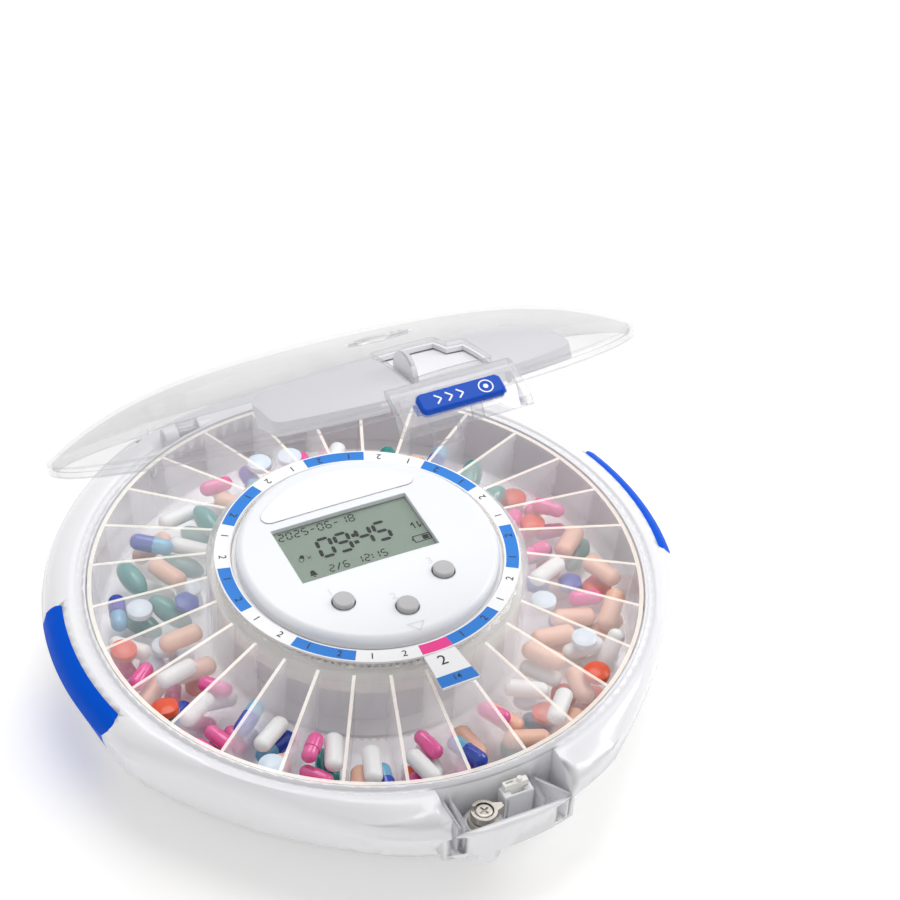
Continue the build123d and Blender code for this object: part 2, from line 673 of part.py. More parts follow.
for name, place in zip(("button_left", "button_middle", "button_right"), BUTTONS):
    with BuildPart() as button:
        with BuildSketch(Plane.XY.offset(BUTTON_LOW)):
            with Locations(place):
                Circle(BUTTON_RADIUS)
        extrude(amount=BUTTON_TOP - BUTTON_LOW)
        with BuildSketch(Plane.XY.offset(BUTTON_FLANGE[1])):
            with Locations(place):
                Circle(BUTTON_FLANGE[0])
        extrude(amount=BUTTON_FLANGE[2] - BUTTON_FLANGE[1])
        fillet(button.faces().sort_by(Axis.Z)[-1].edges(), radius=0.7)
    save(button.part, name)

with BuildPart() as circuit_board:
    with BuildSketch(Plane.XY.offset(BOARD_Z)):
        Circle(COLUMN - COLUMN_WALL - 0.4)
    extrude(amount=BOARD_SHEET)
save(circuit_board.part, "circuit_board")

with BuildPart() as radio_module:
    with Locations((26.0, -8.0, BOARD_Z - 1.6)):
        Box(18.0, 13.0, 3.0)
save(radio_module.part, "radio_module")

with BuildPart() as buzzer:
    with Locations((-24.0, 16.0, BOARD_Z - 3.6)):
        Cylinder(6.0, 7.0)
        Cylinder(1.0, 8.0, mode=Mode.SUBTRACT)
save(buzzer.part, "buzzer")

# ---------------------------------------------------------------- key lock and catch in the front bay
CAM_Z = (32.5, 35.5)
CAM_RADIUS = 4.6
CAM_BORE = 3.4
CAM_FLOOR = 1.1
LUG_REACH = 7.0

with BuildPart() as lock_barrel:
    with BuildSketch(Plane(origin=(*LOCK_AT, LOCK_BOSS_Z[0] - 0.8), z_dir=(0, 0, 1))):
        Circle(LOCK_BORE - 0.1)
    extrude(amount=32.2 - LOCK_BOSS_Z[0] + 0.8)
    with BuildSketch(Plane(origin=(*LOCK_AT, 24.0), z_dir=(0, 0, 1))):
        Circle(SHAFT + RUNNING)
    extrude(amount=20, mode=Mode.SUBTRACT)
    with BuildSketch(Plane(origin=(*LOCK_AT, LOCK_BOSS_Z[0] - 0.8), z_dir=(0, 0, 1))):
        Rectangle(6.4, 1.2)
        Circle(1.8)
    extrude(amount=6, mode=Mode.SUBTRACT)
save(lock_barrel.part, "lock_barrel")

with BuildPart() as lock_cam:
    with BuildSketch(Plane(origin=(*LOCK_AT, CAM_Z[0]), z_dir=(0, 0, 1))):
        Circle(CAM_RADIUS)
        with BuildLine():
            Polyline((CAM_RADIUS - 1.2, -2.2), (LUG_REACH, -0.9), (LUG_REACH, 0.9), (CAM_RADIUS - 1.2, 2.2),
                     close=True)
        make_face()
        Circle(SHAFT + RUNNING, mode=Mode.SUBTRACT)
    extrude(amount=CAM_Z[1] - CAM_Z[0])
    with BuildSketch(Plane(origin=(*LOCK_AT, CAM_Z[0] + CAM_FLOOR), z_dir=(0, 0, 1))):
        Circle(CAM_BORE)
        with Locations((-4.0, 2.6)):
            Rectangle(5.0, 2.4, rotation=-35)
    extrude(amount=5, mode=Mode.SUBTRACT)
save(lock_cam.part, "lock_cam")

with BuildPart() as lock_screw:
    with BuildSketch(Plane(origin=(*LOCK_AT, 25.0), z_dir=(0, 0, 1))):
        Circle(SHAFT)
    extrude(amount=CAM_Z[0] + CAM_FLOOR + 0.1 - 25.0)
    with BuildSketch(Plane(origin=(*LOCK_AT, CAM_Z[0] + CAM_FLOOR + 0.1), z_dir=(0, 0, 1))):
        Circle(3.0)
    extrude(amount=1.7)
    fillet(lock_screw.faces().sort_by(Axis.Z)[-1].edges(), radius=0.6)
    with BuildSketch(Plane(origin=(*LOCK_AT, CAM_Z[1] - 0.9), z_dir=(0, 0, 1))):
        Rectangle(3.6, 0.7, rotation=20)
        Rectangle(0.7, 3.6, rotation=20)
    extrude(amount=3, mode=Mode.SUBTRACT)
save(lock_screw.part, "lock_screw")

JAW_X = (1.0, 10.0)
JAW_Y = (-108.3, -105.9)
JAW_Z = (CATCH_TOP + 0.15, 39.5)
FOOT_X = (3.0, 8.0)
FOOT_Y = (-108.3, -106.7)
JAW_TRAVEL = 1.5
POST_AT = (7.0, -107.1)

with BuildPart() as catch_body:
    with Locations(((CATCH[0] + CATCH[1]) / 2, (CATCH[2] + CATCH[3]) / 2, (BAY_FLOOR + CATCH_TOP) / 2 + 0.05)):
        Box(CATCH[1] - CATCH[0], CATCH[3] - CATCH[2], CATCH_TOP - BAY_FLOOR - 0.1)
    with Locations(((FOOT_X[0] + FOOT_X[1]) / 2, (sum(FOOT_Y) - JAW_TRAVEL) / 2, CATCH_TOP)):
        Box(FOOT_X[1] - FOOT_X[0] + 0.3, FOOT_Y[1] - FOOT_Y[0] + JAW_TRAVEL + 0.5, 8, mode=Mode.SUBTRACT)
    with Locations((CATCH[0] + 1.2, CATCH[2], CATCH_TOP - 6.0)):
        Box(0.9, 1.2, 9.0, mode=Mode.SUBTRACT)
save(catch_body.part, "catch_body")

with BuildPart() as catch_jaw:
    with Locations((sum(JAW_X) / 2, sum(JAW_Y) / 2, sum(JAW_Z) / 2)):
        Box(JAW_X[1] - JAW_X[0], JAW_Y[1] - JAW_Y[0], JAW_Z[1] - JAW_Z[0])
    with Locations((sum(FOOT_X) / 2, sum(FOOT_Y) / 2, (JAW_Z[0] + CATCH_TOP - 3.7) / 2)):
        Box(FOOT_X[1] - FOOT_X[0], FOOT_Y[1] - FOOT_Y[0], JAW_Z[0] - CATCH_TOP + 3.7)
    with Locations((3.4, JAW_Y[1] - 0.9, JAW_Z[1])):
        Box(2.6, 0.7, 1.6, mode=Mode.SUBTRACT)
    with Locations((*POST_AT, JAW_Z[1] + 0.6)):
        Cylinder(0.9, 1.4)
save(catch_jaw.part, "catch_jaw")

# ---------------------------------------------------------------- lid, modelled closed and then turned up
HOUSING_HALF = 21.7
HOUSING_WALL = 1.5
HOUSING_VIEW = ((-101.2, 43.6), (-101.2, 51.3), (-102.2, 51.3), (-105.0, 49.6), (-113.4, 39.2), (-113.4, 36.0),
                (-106.2, 36.0), (-106.2, 43.6))
HOUSING_HOLLOW = ((-104.0, 30.0), (-104.0, 47.5), (-104.74, 47.5), (-111.9, 38.65), (-111.9, 30.0))
PRESS = (29.0, 7.6)
PRESS_AT = (-109.2, 44.4)
PRESS_NORMAL = (0, -10.4, 8.4)
PRESS_EARS = ((1.0, 12.5, 3.0), (1.6, 13.25, 4.5))  # depth of the top, middle and width of each ear layer
PANEL_DROP = 2.1
PANEL_SHEET = 1.6
DOOR_DROP = 4.0
DOOR_SHEET = 1.2
DOOR_ANGLES = (-98.5, -74.5)
DOOR_RADII = (66.0, 95.4)
OPENING = ((-9.6, -67.8), (11.0, -67.8), (11.6, -76.6), (17.6, -76.6), (18.6, -93.2), (-9.6, -94.6))
PANEL_PLAN = ((-53.0, -58.0), (0.0, -63.5), (53.0, -58.0), (53.0, -83.0), (0.0, -100.3), (-53.0, -83.0))
CLOSED_CLEAR = 54.8


def lid_surface(radius, drop):
    """Height of the lid's outer surface at a radius, less a drop."""
    return LID_EDGE_Z + LID_RISE * (1 - (radius / LID_RADIUS) ** LID_CURVE) - drop


def lid_solid(radius, drop, low):
    """Solid of revolution under the lid's surface, down to a height."""
    knots = [(radius * share, lid_surface(radius * share, drop)) for share in (0, 0.25, 0.45, 0.62, 0.76, 0.89, 1)]
    with BuildPart() as form:
        with BuildSketch(Plane.XZ):
            with BuildLine():
                Spline(*knots)
                Polyline(knots[-1], (radius, low), (0, low), knots[0])
            make_face()
        revolve(axis=Axis.Z)
    return form.part


def lid_shell(outer_drop, inner_drop, inner, outer):
    """Sheet of revolution between two drops under the lid's surface and two radii."""
    radii = [inner + (outer - inner) * share for share in (0, 0.33, 0.67, 1)]
    top = [(radius, lid_surface(radius, outer_drop)) for radius in radii]
    under = [(radius, lid_surface(radius, inner_drop)) for radius in radii]
    with BuildPart() as form:
        with BuildSketch(Plane.XZ):
            with BuildLine():
                Spline(*top)
                Line(top[-1], under[-1])
                Spline(*under)
                Line(under[0], top[0])
            make_face()
        revolve(axis=Axis.Z)
    return form.part


def turned_up(part):
    """Turn a lid piece from its closed place to where it stands open."""
    return part.rotate(Axis((0, HINGE_Y, HINGE_Z), (1, 0, 0)), -LID_OPEN)


dome_outside = lid_solid(LID_RADIUS, 0, LID_FOOT_Z)
dome_inside = lid_solid(LID_RADIUS - LID_SHEET, LID_SHEET, LID_FOOT_Z - 1)
under_panel = lid_solid(LID_RADIUS - 5.0, PANEL_DROP, 40.0)
under_sheet = lid_solid(LID_RADIUS - 5.0, PANEL_DROP + PANEL_SHEET, 39.0)

with BuildPart() as wall_limit:
    with BuildSketch(Plane.XZ):
        with BuildLine():
            Polyline((0, 30), (110, 30), (110, 41.8), (76.0, 49.3), (74.0, CLOSED_CLEAR), (0, CLOSED_CLEAR),
                     close=True)
        make_face()
    revolve(axis=Axis.Z)

SKIRT = (102.7, 104.5, 42.6)
TAB = (-10.9, -0.8, -105.5, -104.6, 30.4)
TAB_WINDOW = (-9.8, -1.9, 32.0, 36.2)
TONGUE = (4.0, 8.0, -105.4, -104.5, 35.6)

OVAL_AT = (1.0, -47.0)

with BuildPart() as oval_rim:
    with BuildSketch(Plane.XY.offset(LID_EDGE_Z)):
        with Locations(OVAL_AT):
            Ellipse(11.0, 5.0)
            Ellipse(9.0, 3.5, mode=Mode.SUBTRACT)
    extrude(amount=30)
    add(lid_solid(LID_RADIUS, -0.7, LID_EDGE_Z - 1), mode=Mode.INTERSECT)
    add(lid_solid(LID_RADIUS, LID_SHEET / 2, LID_EDGE_Z - 2), mode=Mode.SUBTRACT)

with BuildPart() as lid_dome:
    add(dome_outside)
    add(dome_inside, mode=Mode.SUBTRACT)
    add(oval_rim.part)
    with BuildSketch(Plane.XY.offset(SKIRT[2])):
        Circle(SKIRT[1])
        Circle(SKIRT[0], mode=Mode.SUBTRACT)
        with Locations((0, 150)):
            Rectangle(2 * HINGE_CUT + 2, 130, mode=Mode.SUBTRACT)
    extrude(amount=LID_FOOT_Z + 1.5 - SKIRT[2])
    with BuildSketch(Plane.XY.offset(LID_EDGE_Z + 2)):
        with BuildLine():
            Polyline(*OPENING, close=True)
        make_face()
        offset(amount=0.8)
    extrude(amount=20, mode=Mode.SUBTRACT)
    # notch behind the press button
    with Locations((0, -LID_RADIUS - 3.8, 49.7)):
        Box(PRESS[0] + 2.6, 10, 11, mode=Mode.SUBTRACT)
save(turned_up(lid_dome.part), "lid_dome")

with BuildPart() as lid_knuckles:
    for sign in (-1, 1):
        middle = sign * sum(KNUCKLE_X) / 2
        width = KNUCKLE_X[1] - KNUCKLE_X[0]
        with Locations((middle, 101.5, (HINGE_Z + LID_FOOT_Z) / 2)):
            Box(width, 3.8, LID_FOOT_Z - HINGE_Z)
        with Locations(Plane(origin=(middle, HINGE_Y, HINGE_Z), z_dir=(1, 0, 0))):
            Cylinder(KNUCKLE - 0.2, width)
    with Locations(Plane(origin=(0, HINGE_Y, HINGE_Z), z_dir=(1, 0, 0))):
        Cylinder(PIN + RUNNING, 100, mode=Mode.SUBTRACT)
save(turned_up(lid_knuckles.part), "lid_knuckles")

with BuildPart() as latch_tabs:
    for low_x, high_x, low_y, high_y, low_z in (TAB, TONGUE):
        with Locations(((low_x + high_x) / 2, (low_y + high_y) / 2, (low_z + LID_FOOT_Z) / 2)):
            Box(high_x - low_x, high_y - low_y, LID_FOOT_Z - low_z)
    with Locations((sum(TAB_WINDOW[:2]) / 2, -105, sum(TAB_WINDOW[2:]) / 2)):
        Box(TAB_WINDOW[1] - TAB_WINDOW[0], 3, TAB_WINDOW[3] - TAB_WINDOW[2], mode=Mode.SUBTRACT)
save(turned_up(latch_tabs.part), "latch_tabs")

with BuildPart() as latch_housing:
    with BuildSketch(Plane.YZ.offset(-HOUSING_HALF)):
        with BuildLine():
            Polyline(*HOUSING_VIEW, close=True)
        make_face()
    extrude(amount=2 * HOUSING_HALF)
    with BuildSketch(Plane.YZ.offset(-HOUSING_HALF + HOUSING_WALL)):
        with BuildLine():
            Polyline(*HOUSING_HOLLOW, close=True)
        make_face()
    extrude(amount=2 * (HOUSING_HALF - HOUSING_WALL), mode=Mode.SUBTRACT)
    with BuildSketch(Plane(origin=(0, *PRESS_AT), x_dir=(1, 0, 0), z_dir=PRESS_NORMAL)) as press_hole:
        Rectangle(PRESS[0] + 0.6, PRESS[1] + 0.6)
        fillet(press_hole.vertices(), radius=2.3)
    extrude(amount=4, both=True, mode=Mode.SUBTRACT)
    add(dome_outside, mode=Mode.SUBTRACT)
save(turned_up(latch_housing.part), "latch_housing")

press_face = Plane(origin=(0, *PRESS_AT), x_dir=(1, 0, 0), z_dir=PRESS_NORMAL)
with BuildPart() as press_button:
    with BuildSketch(press_face.offset(-1.4)) as press_plan:
        Rectangle(*PRESS)
        fillet(press_plan.vertices(), radius=2.0)
    extrude(amount=2.8)
    fillet(press_button.faces().sort_by(Axis((0, *PRESS_AT), PRESS_NORMAL))[-1].edges(), radius=1.0)
    for top, middle, width in PRESS_EARS:
        with BuildSketch(press_face.offset(-2.2)):
            with Locations((-middle, 0), (middle, 0)):
                Rectangle(width, 4.0)
        extrude(amount=2.2 - top)
save(turned_up(press_button.part), "press_button")

RAIL_RADII = (64.3, 65.7, 67.2, 94.2, 95.8, 97.2)
RAIL_DROPS = (PANEL_DROP + PANEL_SHEET - 0.1, 5.5, 6.4)
RAIL_ANGLES = (-104.0, -77.0)
DOOR_SWEEP = (-100.0, -58.0)


def panel_outline(inset):
    """Plan of the lid panel, moved in by an inset."""
    with BuildSketch() as plan:
        with BuildLine():
            ThreePointArc(*PANEL_PLAN[:3])
            Line(PANEL_PLAN[2], PANEL_PLAN[3])
            ThreePointArc(*PANEL_PLAN[3:])
            Line(PANEL_PLAN[5], PANEL_PLAN[0])
        make_face()
        fillet(plan.vertices(), radius=7.0)
        if inset:
            offset(amount=-inset)
    return plan.sketch


with BuildPart() as panel_hollow:
    with BuildSketch(Plane.XY.offset(38)):
        add(panel_outline(1.5))
    extrude(amount=30)
    add(under_sheet, mode=Mode.INTERSECT)

with BuildPart() as rails:
    add(lid_shell(RAIL_DROPS[0], RAIL_DROPS[2], RAIL_RADII[0], RAIL_RADII[1]))
    add(lid_shell(RAIL_DROPS[1], RAIL_DROPS[2], RAIL_RADII[0], RAIL_RADII[2]))
    add(lid_shell(RAIL_DROPS[0], RAIL_DROPS[2], RAIL_RADII[4], RAIL_RADII[5]))
    add(lid_shell(RAIL_DROPS[1], RAIL_DROPS[2], RAIL_RADII[3], RAIL_RADII[5]))
    add(sector(60, 100, *RAIL_ANGLES, 35, 65), mode=Mode.INTERSECT)

with BuildPart() as door_slot:
    add(lid_shell(RAIL_DROPS[0] - 0.05, RAIL_DROPS[1], 60.0, 90.0))
    add(sector(59, 91, *DOOR_SWEEP, 35, 65), mode=Mode.INTERSECT)

with BuildPart() as lid_panel:
    with BuildSketch(Plane.XY.offset(40)):
        add(panel_outline(0))
    extrude(amount=30)
    add(under_panel, mode=Mode.INTERSECT)
    add(wall_limit.part, mode=Mode.SUBTRACT)
    add(panel_hollow.part, mode=Mode.SUBTRACT)
    add(door_slot.part, mode=Mode.SUBTRACT)
    add(rails.part)
    with BuildSketch(Plane.XY.offset(46)):
        with BuildLine():
            Polyline(*OPENING, close=True)
        make_face()
    extrude(amount=20, mode=Mode.SUBTRACT)
save(turned_up(lid_panel.part), "lid_panel")

FIN_X = -7.9
FIN_SHEET = 1.8
FIN_ARC = ((-77.5, 54.6), (-86.6, 61.0), (-92.4, 49.6))
with BuildPart() as slide_door:
    add(lid_shell(DOOR_DROP, DOOR_DROP + DOOR_SHEET, *DOOR_RADII))
    add(sector(60, 100, *DOOR_ANGLES, 35, 65), mode=Mode.INTERSECT)
    with BuildSketch(Plane.YZ.offset(FIN_X)):
        with BuildLine():
            ThreePointArc(*FIN_ARC)
            Line(FIN_ARC[2], FIN_ARC[0])
        make_face()
    extrude(amount=FIN_SHEET)
save(turned_up(slide_door.part), "slide_door")

# ---------------------------------------------------------------- sample doses in the tray
# Kind: length, width, height, how it is made, how often it comes up.
PILLS = {
    "caplets_white": (16.5, 6.6, 6.6, "capsule", 5),
    "caplets_peach": (17.0, 7.4, 7.4, "capsule", 4),
    "softgels_teal": (18.5, 8.6, 8.6, "oval", 4),
    "capsules_blue": (17.0, 6.6, 6.6, "capsule", 4),
    "capsules_pink": (13.0, 6.0, 6.0, "capsule", 4),
    "tablets_orange": (9.6, 9.6, 4.8, "round", 3),
    "tablets_pale": (9.4, 9.4, 4.4, "round", 3),
    "tablets_blue": (9.8, 9.8, 4.4, "hexagon", 1),
}
PILL_GAP = 0.35
TABLET_ROUND = 1.6
TABLET_MARGIN = 0.3
DOSE = 7  # most pills in one compartment
SPARE = 5
TRIES = 500
PILE_TOP = 36.6
PILE_ENDS = (62.0, 93.0)
PILE_SLIDE = 14.0  # the doses have slid a little to one side of the tray
SLID_TO = 250.0
MOST_LEAN = 0.9


def pill_body(length, width, height, form):
    """One pill of a kind, centred on the origin and lying along X."""
    with BuildPart() as pill:
        if form == "round" or form == "hexagon":
            with BuildSketch(Plane.XY.offset(-height / 2)):
                if form == "round":
                    Circle(width / 2)
                else:
                    RegularPolygon(width / 2, 6)
            extrude(amount=height)
            rims = pill.edges().group_by(Axis.Z)
            fillet(rims[0] + rims[-1], radius=TABLET_ROUND)
        else:
            with BuildSketch(Plane.XY):
                if form == "capsule":
                    SlotOverall(length, width)
                else:
                    Ellipse(length / 2, width / 2)
                with Locations((0, -width)):
                    Rectangle(2 * length, 2 * width, mode=Mode.SUBTRACT)
            revolve(axis=Axis.X)
    return pill.part


def filling(name, x, y, z, yaw, lean):
    """Centres of the balls that fill out a pill where it lies, and their radius."""
    length, width, height, form, _ = PILLS[name]
    if form in ("capsule", "oval"):
        radius = width / 2
        local = [(share / 3 * (length - width) / 2, 0) for share in range(-3, 4)]
    else:
        radius = height / 2 + TABLET_MARGIN
        local = [(0, 0)] + [polar((width - height) / 2, 60 * step) for step in range(6)]
    points = []
    for along, across in local:
        out = along * cos(lean)
        points.append((x + out * cos(yaw) - across * sin(yaw), y + out * sin(yaw) + across * cos(yaw),
                       z + along * sin(lean)))
    return points, radius


def fits_compartment(points, radius):
    """True when a pill stays off both dividers, the hub and the outer wall (compartment along +X)."""
    half_turn = radians(PITCH / 2)
    for x, y, _ in points:
        side = x * sin(half_turn) - abs(y) * cos(half_turn)
        if side < radius + DIVIDER / 2 + PILL_GAP or x - radius < TRAY_HUB + 2 or hypot(x, y) + radius > 96.0:
            return False
    return True


def rest_height(points, radius, inside):
    """Height at which a pill comes to rest on the floor or on the pills under it."""
    rest = max(FLOOR_TOP + 0.05 + radius - point[2] for point in points)
    for others, other_radius in inside:
        reach = radius + other_radius + PILL_GAP
        for point in points:
            for other in others:
                flat = hypot(point[0] - other[0], point[1] - other[1])
                if flat < reach:
                    rest = max(rest, other[2] + (reach ** 2 - flat ** 2) ** 0.5 - point[2])
    return rest


def lowest_place(name, near, far, inside):
    """Drop a pill many times into the compartment along +X; returns the pose that settles lowest."""
    best, least = None, PILE_TOP
    for _ in range(TRIES):
        x, y, yaw = chance.uniform(near, far), chance.uniform(-6, 6), chance.uniform(0, pi)
        lean = chance.choice((0, 1)) * chance.uniform(-MOST_LEAN, MOST_LEAN)
        points, radius = filling(name, x, y, 0.0, yaw, lean)
        if fits_compartment(points, radius):
            z = rest_height(points, radius, inside)
            top = z + max(point[2] for point in points) + radius
            if top < least:
                best, least = (x, y, z, yaw, lean), top
    return best


chance = random.Random(29)
kinds = [name for name, kind in PILLS.items() for _ in range(kind[4])]
placed = {name: [] for name in PILLS}
for compartment in range(COMPARTMENTS):
    turn = HOME_EDGE + PITCH * (compartment + 0.5)
    slide = PILE_SLIDE * cos(radians(turn - SLID_TO))
    near, far = PILE_ENDS[0] + max(0, slide), PILE_ENDS[1] + min(0, slide)
    inside = []
    for _ in range(DOSE + SPARE):
        name = chance.choice(kinds)
        pose = lowest_place(name, near, far, inside) if len(inside) < DOSE else None
        if pose:
            inside.append(filling(name, *pose))
            x, y, z, yaw, lean = pose
            place = Location((0, 0, 0), (0, 0, turn)) * Location((x, y, z), (0, 0, degrees(yaw)))
            placed[name].append(place * Location((0, 0, 0), (0, -degrees(lean), 0)))

for name, (length, width, height, form, _) in PILLS.items():
    one_pill = pill_body(length, width, height, form)
    with BuildPart() as pills:
        with Locations(*placed[name]):
            add(one_pill)
    save(pills.part, "pill_" + name)
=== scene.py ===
"""Automatic pill dispenser on a pale table, its clear lid standing open over the tray of doses."""

from math import atan2, cos, degrees, hypot, pi, radians, sin

import bmesh
import bpy
import numpy as np
from mathutils import Matrix, Vector
from mathutils.bvhtree import BVHTree


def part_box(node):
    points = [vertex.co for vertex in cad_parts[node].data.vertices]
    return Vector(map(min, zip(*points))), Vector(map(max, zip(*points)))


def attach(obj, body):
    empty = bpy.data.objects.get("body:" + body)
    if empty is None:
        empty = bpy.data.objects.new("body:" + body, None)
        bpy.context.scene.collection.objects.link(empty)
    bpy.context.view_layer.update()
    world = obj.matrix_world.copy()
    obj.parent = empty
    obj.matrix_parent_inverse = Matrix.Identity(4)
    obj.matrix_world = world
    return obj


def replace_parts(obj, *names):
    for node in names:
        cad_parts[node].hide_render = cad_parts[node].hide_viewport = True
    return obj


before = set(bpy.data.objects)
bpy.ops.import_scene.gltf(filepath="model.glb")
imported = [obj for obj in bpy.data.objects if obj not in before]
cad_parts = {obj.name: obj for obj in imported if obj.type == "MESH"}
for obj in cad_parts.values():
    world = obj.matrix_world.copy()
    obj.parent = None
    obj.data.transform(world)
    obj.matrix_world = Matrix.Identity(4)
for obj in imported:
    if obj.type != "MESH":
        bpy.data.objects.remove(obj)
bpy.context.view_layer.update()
MM = 0.001

# ---------------------------------------------------------------- camera
# The camera stands in front of the dispenser, to its left and above it, and leans a little to one side.
# Its place is given as a direction and a distance from a point near the middle of the lid's opening.
TURN, RAISE, LEAN = radians(-28.706), radians(40.930), radians(3.855)
DISTANCE = 924.67 * MM
AIM = Vector((51.843, 38.442, 54.0)) * MM
LENS_MM, SENSOR_MM = 98.0, 36.0

away = Vector((sin(TURN) * cos(RAISE), -cos(TURN) * cos(RAISE), sin(RAISE)))
level = Vector((cos(TURN), sin(TURN), 0.0))
above = level.cross(-away)
across = level * cos(LEAN) + above * sin(LEAN)
upward = above * cos(LEAN) - level * sin(LEAN)
camera_data = bpy.data.cameras.new("camera")
camera_data.lens = LENS_MM
camera_data.sensor_width = SENSOR_MM
camera_data.clip_start = 0.05
camera = bpy.data.objects.new("camera", camera_data)
camera.matrix_world = Matrix.Translation(AIM + away * DISTANCE) @ Matrix((across, upward, away)).transposed().to_4x4()
bpy.context.collection.objects.link(camera)
bpy.context.scene.camera = camera

# ---------------------------------------------------------------- table and light
# A white table top under a white room. The table is a little brighter than the dispenser's plastic and
# keeps its soft shadow; broad lamps stand behind and above, so that the front of the body falls into grey.
bpy.context.scene.view_settings.view_transform = "Standard"
TABLE_COLOUR = (0.93, 0.925, 0.91, 1.0)
TABLE_LIFT = 0.18


def node_material(name):
    """A new material with an empty node tree and its output."""
    material = bpy.data.materials.new(name)
    material.use_nodes = True
    tree = material.node_tree
    tree.nodes.clear()
    output = tree.nodes.new("ShaderNodeOutputMaterial")
    return material, tree, output


table_finish, tree, output = node_material("table_top")
diffuse = tree.nodes.new("ShaderNodeBsdfDiffuse")
diffuse.inputs["Color"].default_value = TABLE_COLOUR
glow = tree.nodes.new("ShaderNodeEmission")
glow.inputs["Strength"].default_value = TABLE_LIFT
both = tree.nodes.new("ShaderNodeAddShader")
tree.links.new(diffuse.outputs[0], both.inputs[0])
tree.links.new(glow.outputs[0], both.inputs[1])
tree.links.new(both.outputs[0], output.inputs["Surface"])

bm = bmesh.new()
bmesh.ops.create_circle(bm, cap_ends=True, segments=64, radius=3.0)
table_mesh = bpy.data.meshes.new("table")
bm.to_mesh(table_mesh)
bm.free()
table = bpy.data.objects.new("table", table_mesh)
table_mesh.materials.append(table_finish)
bpy.context.collection.objects.link(table)

world = bpy.data.worlds.new("white_room")
world.use_nodes = True
bpy.context.scene.world = world
tree = world.node_tree
tree.nodes.clear()
world_out = tree.nodes.new("ShaderNodeOutputWorld")
room = tree.nodes.new("ShaderNodeBackground")
room.inputs["Color"].default_value = (0.96, 0.955, 0.96, 1.0)
room.inputs["Strength"].default_value = 0.55
backdrop = tree.nodes.new("ShaderNodeBackground")
backdrop.inputs["Strength"].default_value = 1.0
seen = tree.nodes.new("ShaderNodeLightPath")
either = tree.nodes.new("ShaderNodeMath")
either.operation = "MAXIMUM"
any_seen = tree.nodes.new("ShaderNodeMath")
any_seen.operation = "MAXIMUM"
choose = tree.nodes.new("ShaderNodeMixShader")
tree.links.new(seen.outputs["Is Camera Ray"], either.inputs[0])
tree.links.new(seen.outputs["Is Transmission Ray"], either.inputs[1])
tree.links.new(either.outputs[0], any_seen.inputs[0])
tree.links.new(seen.outputs["Is Glossy Ray"], any_seen.inputs[1])
tree.links.new(any_seen.outputs[0], choose.inputs[0])
tree.links.new(room.outputs[0], choose.inputs[1])
tree.links.new(backdrop.outputs[0], choose.inputs[2])
tree.links.new(choose.outputs[0], world_out.inputs["Surface"])

LAMPS = {
    "lamp_above": ((0.15, 0.45, 1.25), (0.0, 0.0, 0.0), 1.0, 9.0),
    "lamp_right": ((1.10, -0.05, 0.75), (0.0, 0.0, 0.03), 0.7, 5.5),
    "lamp_left": ((-1.0, -0.9, 0.7), (0.0, 0.0, 0.03), 0.9, 1.0),
}
for name, (place, target, width, power) in LAMPS.items():
    lamp_data = bpy.data.lights.new(name, "AREA")
    lamp_data.shape = "DISK"
    lamp_data.size = width
    lamp_data.energy = power
    lamp = bpy.data.objects.new(name, lamp_data)
    lamp.matrix_world = (Matrix.Translation(place)
                         @ (Vector(target) - Vector(place)).to_track_quat("-Z", "Y").to_matrix().to_4x4())
    bpy.context.collection.objects.link(lamp)


# ---------------------------------------------------------------- body shell
# The white outer case: glossy ABS moulded in one piece with the bay for the lock and the lugs of the hinge.
# Like every moulded piece here it has an even colour with a faint cloud in it, a very fine orange peel in
# the gloss and edges that are rounded off by a few tenths.
def moulded(name, colour, rough=0.3, peel=0.05, cloud=0.02, coat=0.0, edge=0.4, metal=0.0, gloss=0.5):
    """Opaque moulded plastic or metal: colour, roughness, peel, cloudiness, clear coat, edge in mm, gloss."""
    material, tree, output = node_material(name)
    links = tree.links
    surface = tree.nodes.new("ShaderNodeBsdfPrincipled")
    surface.inputs["Roughness"].default_value = rough
    surface.inputs["Metallic"].default_value = metal
    surface.inputs["Specular IOR Level"].default_value = gloss
    surface.inputs["Coat Weight"].default_value = coat
    surface.inputs["Coat Roughness"].default_value = 0.08
    place = tree.nodes.new("ShaderNodeTexCoord")
    patches = tree.nodes.new("ShaderNodeTexNoise")
    patches.inputs["Scale"].default_value = 35.0
    patches.inputs["Detail"].default_value = 3.0
    tint = tree.nodes.new("ShaderNodeMix")
    tint.data_type = "RGBA"
    tint.inputs[6].default_value = (*[channel * (1 - 2 * cloud) for channel in colour], 1.0)
    tint.inputs[7].default_value = (*colour, 1.0)
    fine = tree.nodes.new("ShaderNodeTexNoise")
    fine.inputs["Scale"].default_value = 900.0
    relief = tree.nodes.new("ShaderNodeBump")
    relief.inputs["Strength"].default_value = peel
    relief.inputs["Distance"].default_value = 0.0002
    links.new(place.outputs["Object"], patches.inputs["Vector"])
    links.new(place.outputs["Object"], fine.inputs["Vector"])
    links.new(patches.outputs["Fac"], tint.inputs[0])
    links.new(tint.outputs[2], surface.inputs["Base Color"])
    links.new(fine.outputs["Fac"], relief.inputs["Height"])
    if edge:
        rounding = tree.nodes.new("ShaderNodeBevel")
        rounding.samples = 4
        rounding.inputs["Radius"].default_value = edge * MM
        links.new(rounding.outputs[0], relief.inputs["Normal"])
    links.new(relief.outputs[0], surface.inputs["Normal"])
    links.new(surface.outputs[0], output.inputs["Surface"])
    return material


def dress(material, *nodes):
    """Give a finish to CAD nodes that keep their own shape."""
    for node in nodes:
        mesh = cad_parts[node].data
        mesh.materials.clear()
        mesh.materials.append(material)


